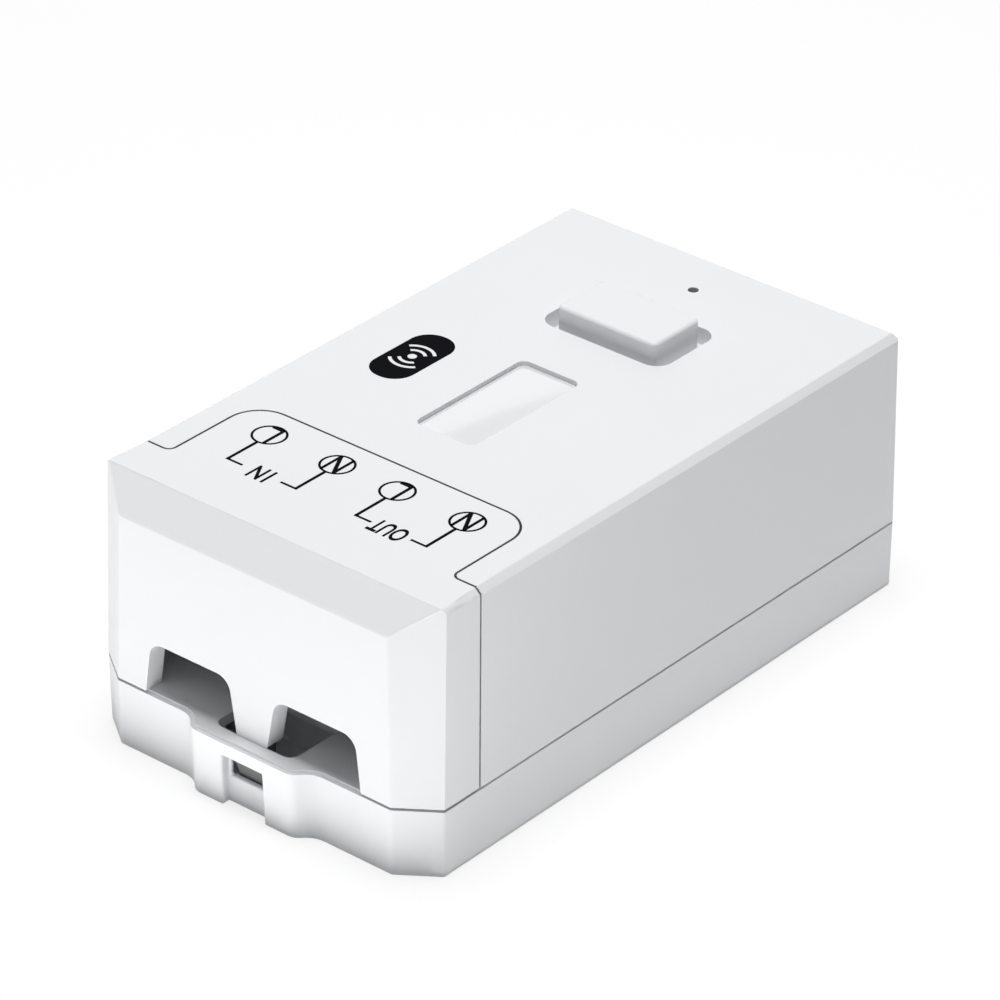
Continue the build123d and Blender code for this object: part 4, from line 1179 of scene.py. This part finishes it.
class RECEIVER_OT_power_parts(bpy.types.Operator):
    """Relay, transformer, capacitors, varistor, fuse and choke"""

    bl_idname = "receiver.power_parts"
    bl_label = "Power parts"

    def execute(self, context):
        for node, name, key, radius in (
            ("power_relay", "relay_case", "black_smooth", 0.25),
            ("transformer_core", "ferrite_halves", "ferrite", 0.4),
            ("suppressor_capacitor", "box_capacitor", "yellow", 0.4),
            ("varistor", "surge_disc", "epoxy_blue", 1.2),
        ):
            soft_copy(node, name, key, radius * MM)
        winding = soft_copy("transformer_bobbin", "taped_winding", "tape", 0.25 * MM)
        low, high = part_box("transformer_bobbin")
        paint(winding, "black", lambda place, normal: place.z < low.z + BOBBIN_RAIL
              or min(place.y - low.y, high.y - place.y) < BOBBIN_FLANGE)
        add_cans()
        add_upright("fuse", "upright_fuse", "epoxy_brown", 0.9)
        add_upright("filter_choke", "drum_choke", "choke", 0.6)
        return {"FINISHED"}


BOBBIN_RAIL = 2.65 * MM
BOBBIN_FLANGE = 1.05 * MM
# Millimetres in from the can's wall, and up from its foot or down from its end
CAN_FOOT = [(0.5, 0), (0, 0.5), (0, 1.0), (0.4, 1.4), (0.4, 1.7), (0, 2.1)]
CAN_END = [(0, 0.5), (0.2, 0.12), (0.6, 0), (0.8, 0.15)]
CAN_FLAT = 0.9


def add_cans():
    """Can capacitors: sleeve with a rolled groove, and a bright scored end."""
    node = "smoothing_capacitors"
    points = [v.co for v in frame["nodes"][node].data.vertices]
    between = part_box(node)[1].x / 2
    cans = []
    for group in ([p for p in points if p.x < between], [p for p in points if p.x > between]):
        (left, near, foot), (right, far, top) = limits(group)
        radius, height = (right - left) / 2, top - foot
        profile = [(0, 0), *((radius - inwards * MM, up * MM) for inwards, up in CAN_FOOT),
                   *((radius - inwards * MM, height - down * MM) for inwards, down in CAN_END),
                   (0, height - CAN_END[-1][1] * MM)]
        cans.append(spun("can", profile, ((left + right) / 2, (near + far) / 2, foot)))
    pair = settle(joined("can_capacitors", cans), node, finish("sleeve"), (node,))
    paint(pair, "tin", lambda place, normal: normal.z > CAN_FLAT)


def add_upright(node, name, key, rounding):
    """Turned upright part with rounded ends in place of a CAD cylinder."""
    low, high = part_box(node)
    radius, height = (high.x - low.x) / 2, high.z - low.z
    turns = [math.pi / 2 * i / 6 for i in range(7)]
    lower = [(radius - (1 - math.cos(t)) * rounding * MM, (1 - math.sin(t)) * rounding * MM) for t in turns]
    profile = [(0, 0), *reversed(lower), *((r, height - h) for r, h in lower), (0, height)]
    settle(spun(name, profile, (*middle_of(node)[:2], low.z)), node, finish(key), (node,))


class RECEIVER_OT_radio_parts(bpy.types.Operator):
    """Lights, light box, radio module, controller, antenna and the two switches"""

    bl_idname = "receiver.radio_parts"
    bl_label = "Radio parts"

    def execute(self, context):
        for node, name, key in (
            ("status_leds", "led_domes", "led"), ("light_shroud", "light_box", "shroud"),
            ("button_plunger", "switch_plunger", "black"), ("reset_plunger", "reset_pin", "red"),
        ):
            soft_copy(node, name, key, 0.1 * MM)
        for node, name in (("button_switch", "switch_frame"), ("reset_switch", "reset_frame")):
            low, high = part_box(node)
            paint(soft_copy(node, name, "black", 0.1 * MM), "tin", lambda place, normal:
                  place.z > high.z - SWITCH_PLATE or min(place.x - low.x, high.x - place.x) < SWITCH_LEG)
        module = soft_copy("radio_module", "module_can", "tin", 0.1 * MM)
        board_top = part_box("radio_module")[0].z + MODULE_BOARD
        paint(module, "mask", lambda place, normal: place.z < board_top)
        soft_copy("wire_antenna", "antenna_rod", "copper_wire", 0.25 * MM)
        add_chip()
        return {"FINISHED"}


SWITCH_PLATE = 0.45 * MM
SWITCH_LEG = 0.7 * MM
MODULE_BOARD = 1.01 * MM
CHIP_BODY = (7.0 * MM, 7.0 * MM, 1.1 * MM)
CHIP_PITCH = 0.5 * MM
CHIP_ROW = 11
CHIP_SINK = 0.1 * MM
CHIP_CHAMFER = 0.22 * MM


def add_chip():
    """Controller: a chamfered body and a row of bent pins on each side."""
    low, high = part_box("control_chip")
    x, y, _ = middle_of("control_chip")
    shape = bmesh.new()
    bmesh.ops.create_cube(shape, size=1.0)
    bmesh.ops.scale(shape, verts=shape.verts, vec=CHIP_BODY)
    bmesh.ops.translate(shape, verts=shape.verts, vec=(x, y, high.z - CHIP_BODY[2] / 2))
    body = soften(mesh_object("chip_package", shape), CHIP_CHAMFER, segments=1)
    settle(body, "control_chip", finish("black_smooth"), ("control_chip",))
    places, turns = [], []
    for side in range(4):
        for i in range(CHIP_ROW):
            root = Vector((CHIP_BODY[0] / 2 - CHIP_SINK, (i - (CHIP_ROW - 1) / 2) * CHIP_PITCH, 0))
            root.rotate(Matrix.Rotation(side * math.pi / 2, 3, "Z"))
            places.append((x + root.x, y + root.y, low.z))
            turns.append(side * math.pi / 2)
    pins = grown("chip_pins", places, bent_pin_tree(finish("tin")), None, {"side_turn": turns})
    settle(pins, "control_chip")


def bent_pin_tree(metal):
    """Gull-wing pin at every point, out along its own x."""
    tree, given = start_tree("bent_pins", {
        "Reach": 1.05 * MM, "Rise": 0.55 * MM, "Width": 0.24 * MM, "Thickness": 0.13 * MM})
    reach, rise, thick = given["Reach"], given["Rise"], given["Thickness"]
    half_thick = calc(tree, "MULTIPLY", thick, 0.5)
    knee, foot = (calc(tree, "MULTIPLY", reach, share) for share in (0.35, 0.5))
    bends = [vector(tree, x, z=z)
             for x, z in ((0.0, rise), (knee, rise), (foot, half_thick), (reach, half_thick))]
    bars = [line_strip(tree, start, end, given["Width"], thick) for start, end in zip(bends, bends[1:])]
    pins = on_points(tree, given["Geometry"], merged(tree, *bars), turn_from(tree, "side_turn"))
    return end_tree(tree, pins, metal)


class RECEIVER_PT_panel(bpy.types.Panel):
    """Steps and settings of the receiver"""

    bl_idname = "RECEIVER_PT_panel"
    bl_label = "In-line receiver"
    bl_space_type = "VIEW_3D"
    bl_region_type = "UI"
    bl_category = "Receiver"

    def draw(self, context):
        for operator in OPERATORS:
            self.layout.operator(operator.bl_idname)
        for key, group in SETTINGS.items():
            box = self.layout.box()
            settings = getattr(context.scene, key)
            for label in group.__annotations__:
                box.prop(settings, label)


SETTINGS = {
    "receiver_shells": ShellSettings,
    "receiver_marks": MarkSettings,
    "receiver_screws": ScrewSettings,
    "receiver_stage": StageSettings,
}
OPERATORS = [
    RECEIVER_OT_stage, RECEIVER_OT_shells, RECEIVER_OT_controls, RECEIVER_OT_marks, RECEIVER_OT_terminals,
    RECEIVER_OT_fasteners, RECEIVER_OT_boards, RECEIVER_OT_power_parts, RECEIVER_OT_radio_parts,
]


def register():
    """Register the classes and hang the settings on the scene."""
    for item in [*SETTINGS.values(), *OPERATORS, RECEIVER_PT_panel]:
        bpy.utils.register_class(item)
    for key, group in SETTINGS.items():
        setattr(bpy.types.Scene, key, PointerProperty(type=group))


def unregister():
    """Take the settings and classes away again."""
    for key in SETTINGS:
        delattr(bpy.types.Scene, key)
    for item in reversed([*SETTINGS.values(), *OPERATORS, RECEIVER_PT_panel]):
        bpy.utils.unregister_class(item)


def main():
    """Dress the receiver."""
    register()
    for operator in OPERATORS:
        group, step = operator.bl_idname.split(".")
        getattr(getattr(bpy.ops, group), step)()


if __name__ == "__main__":
    main()
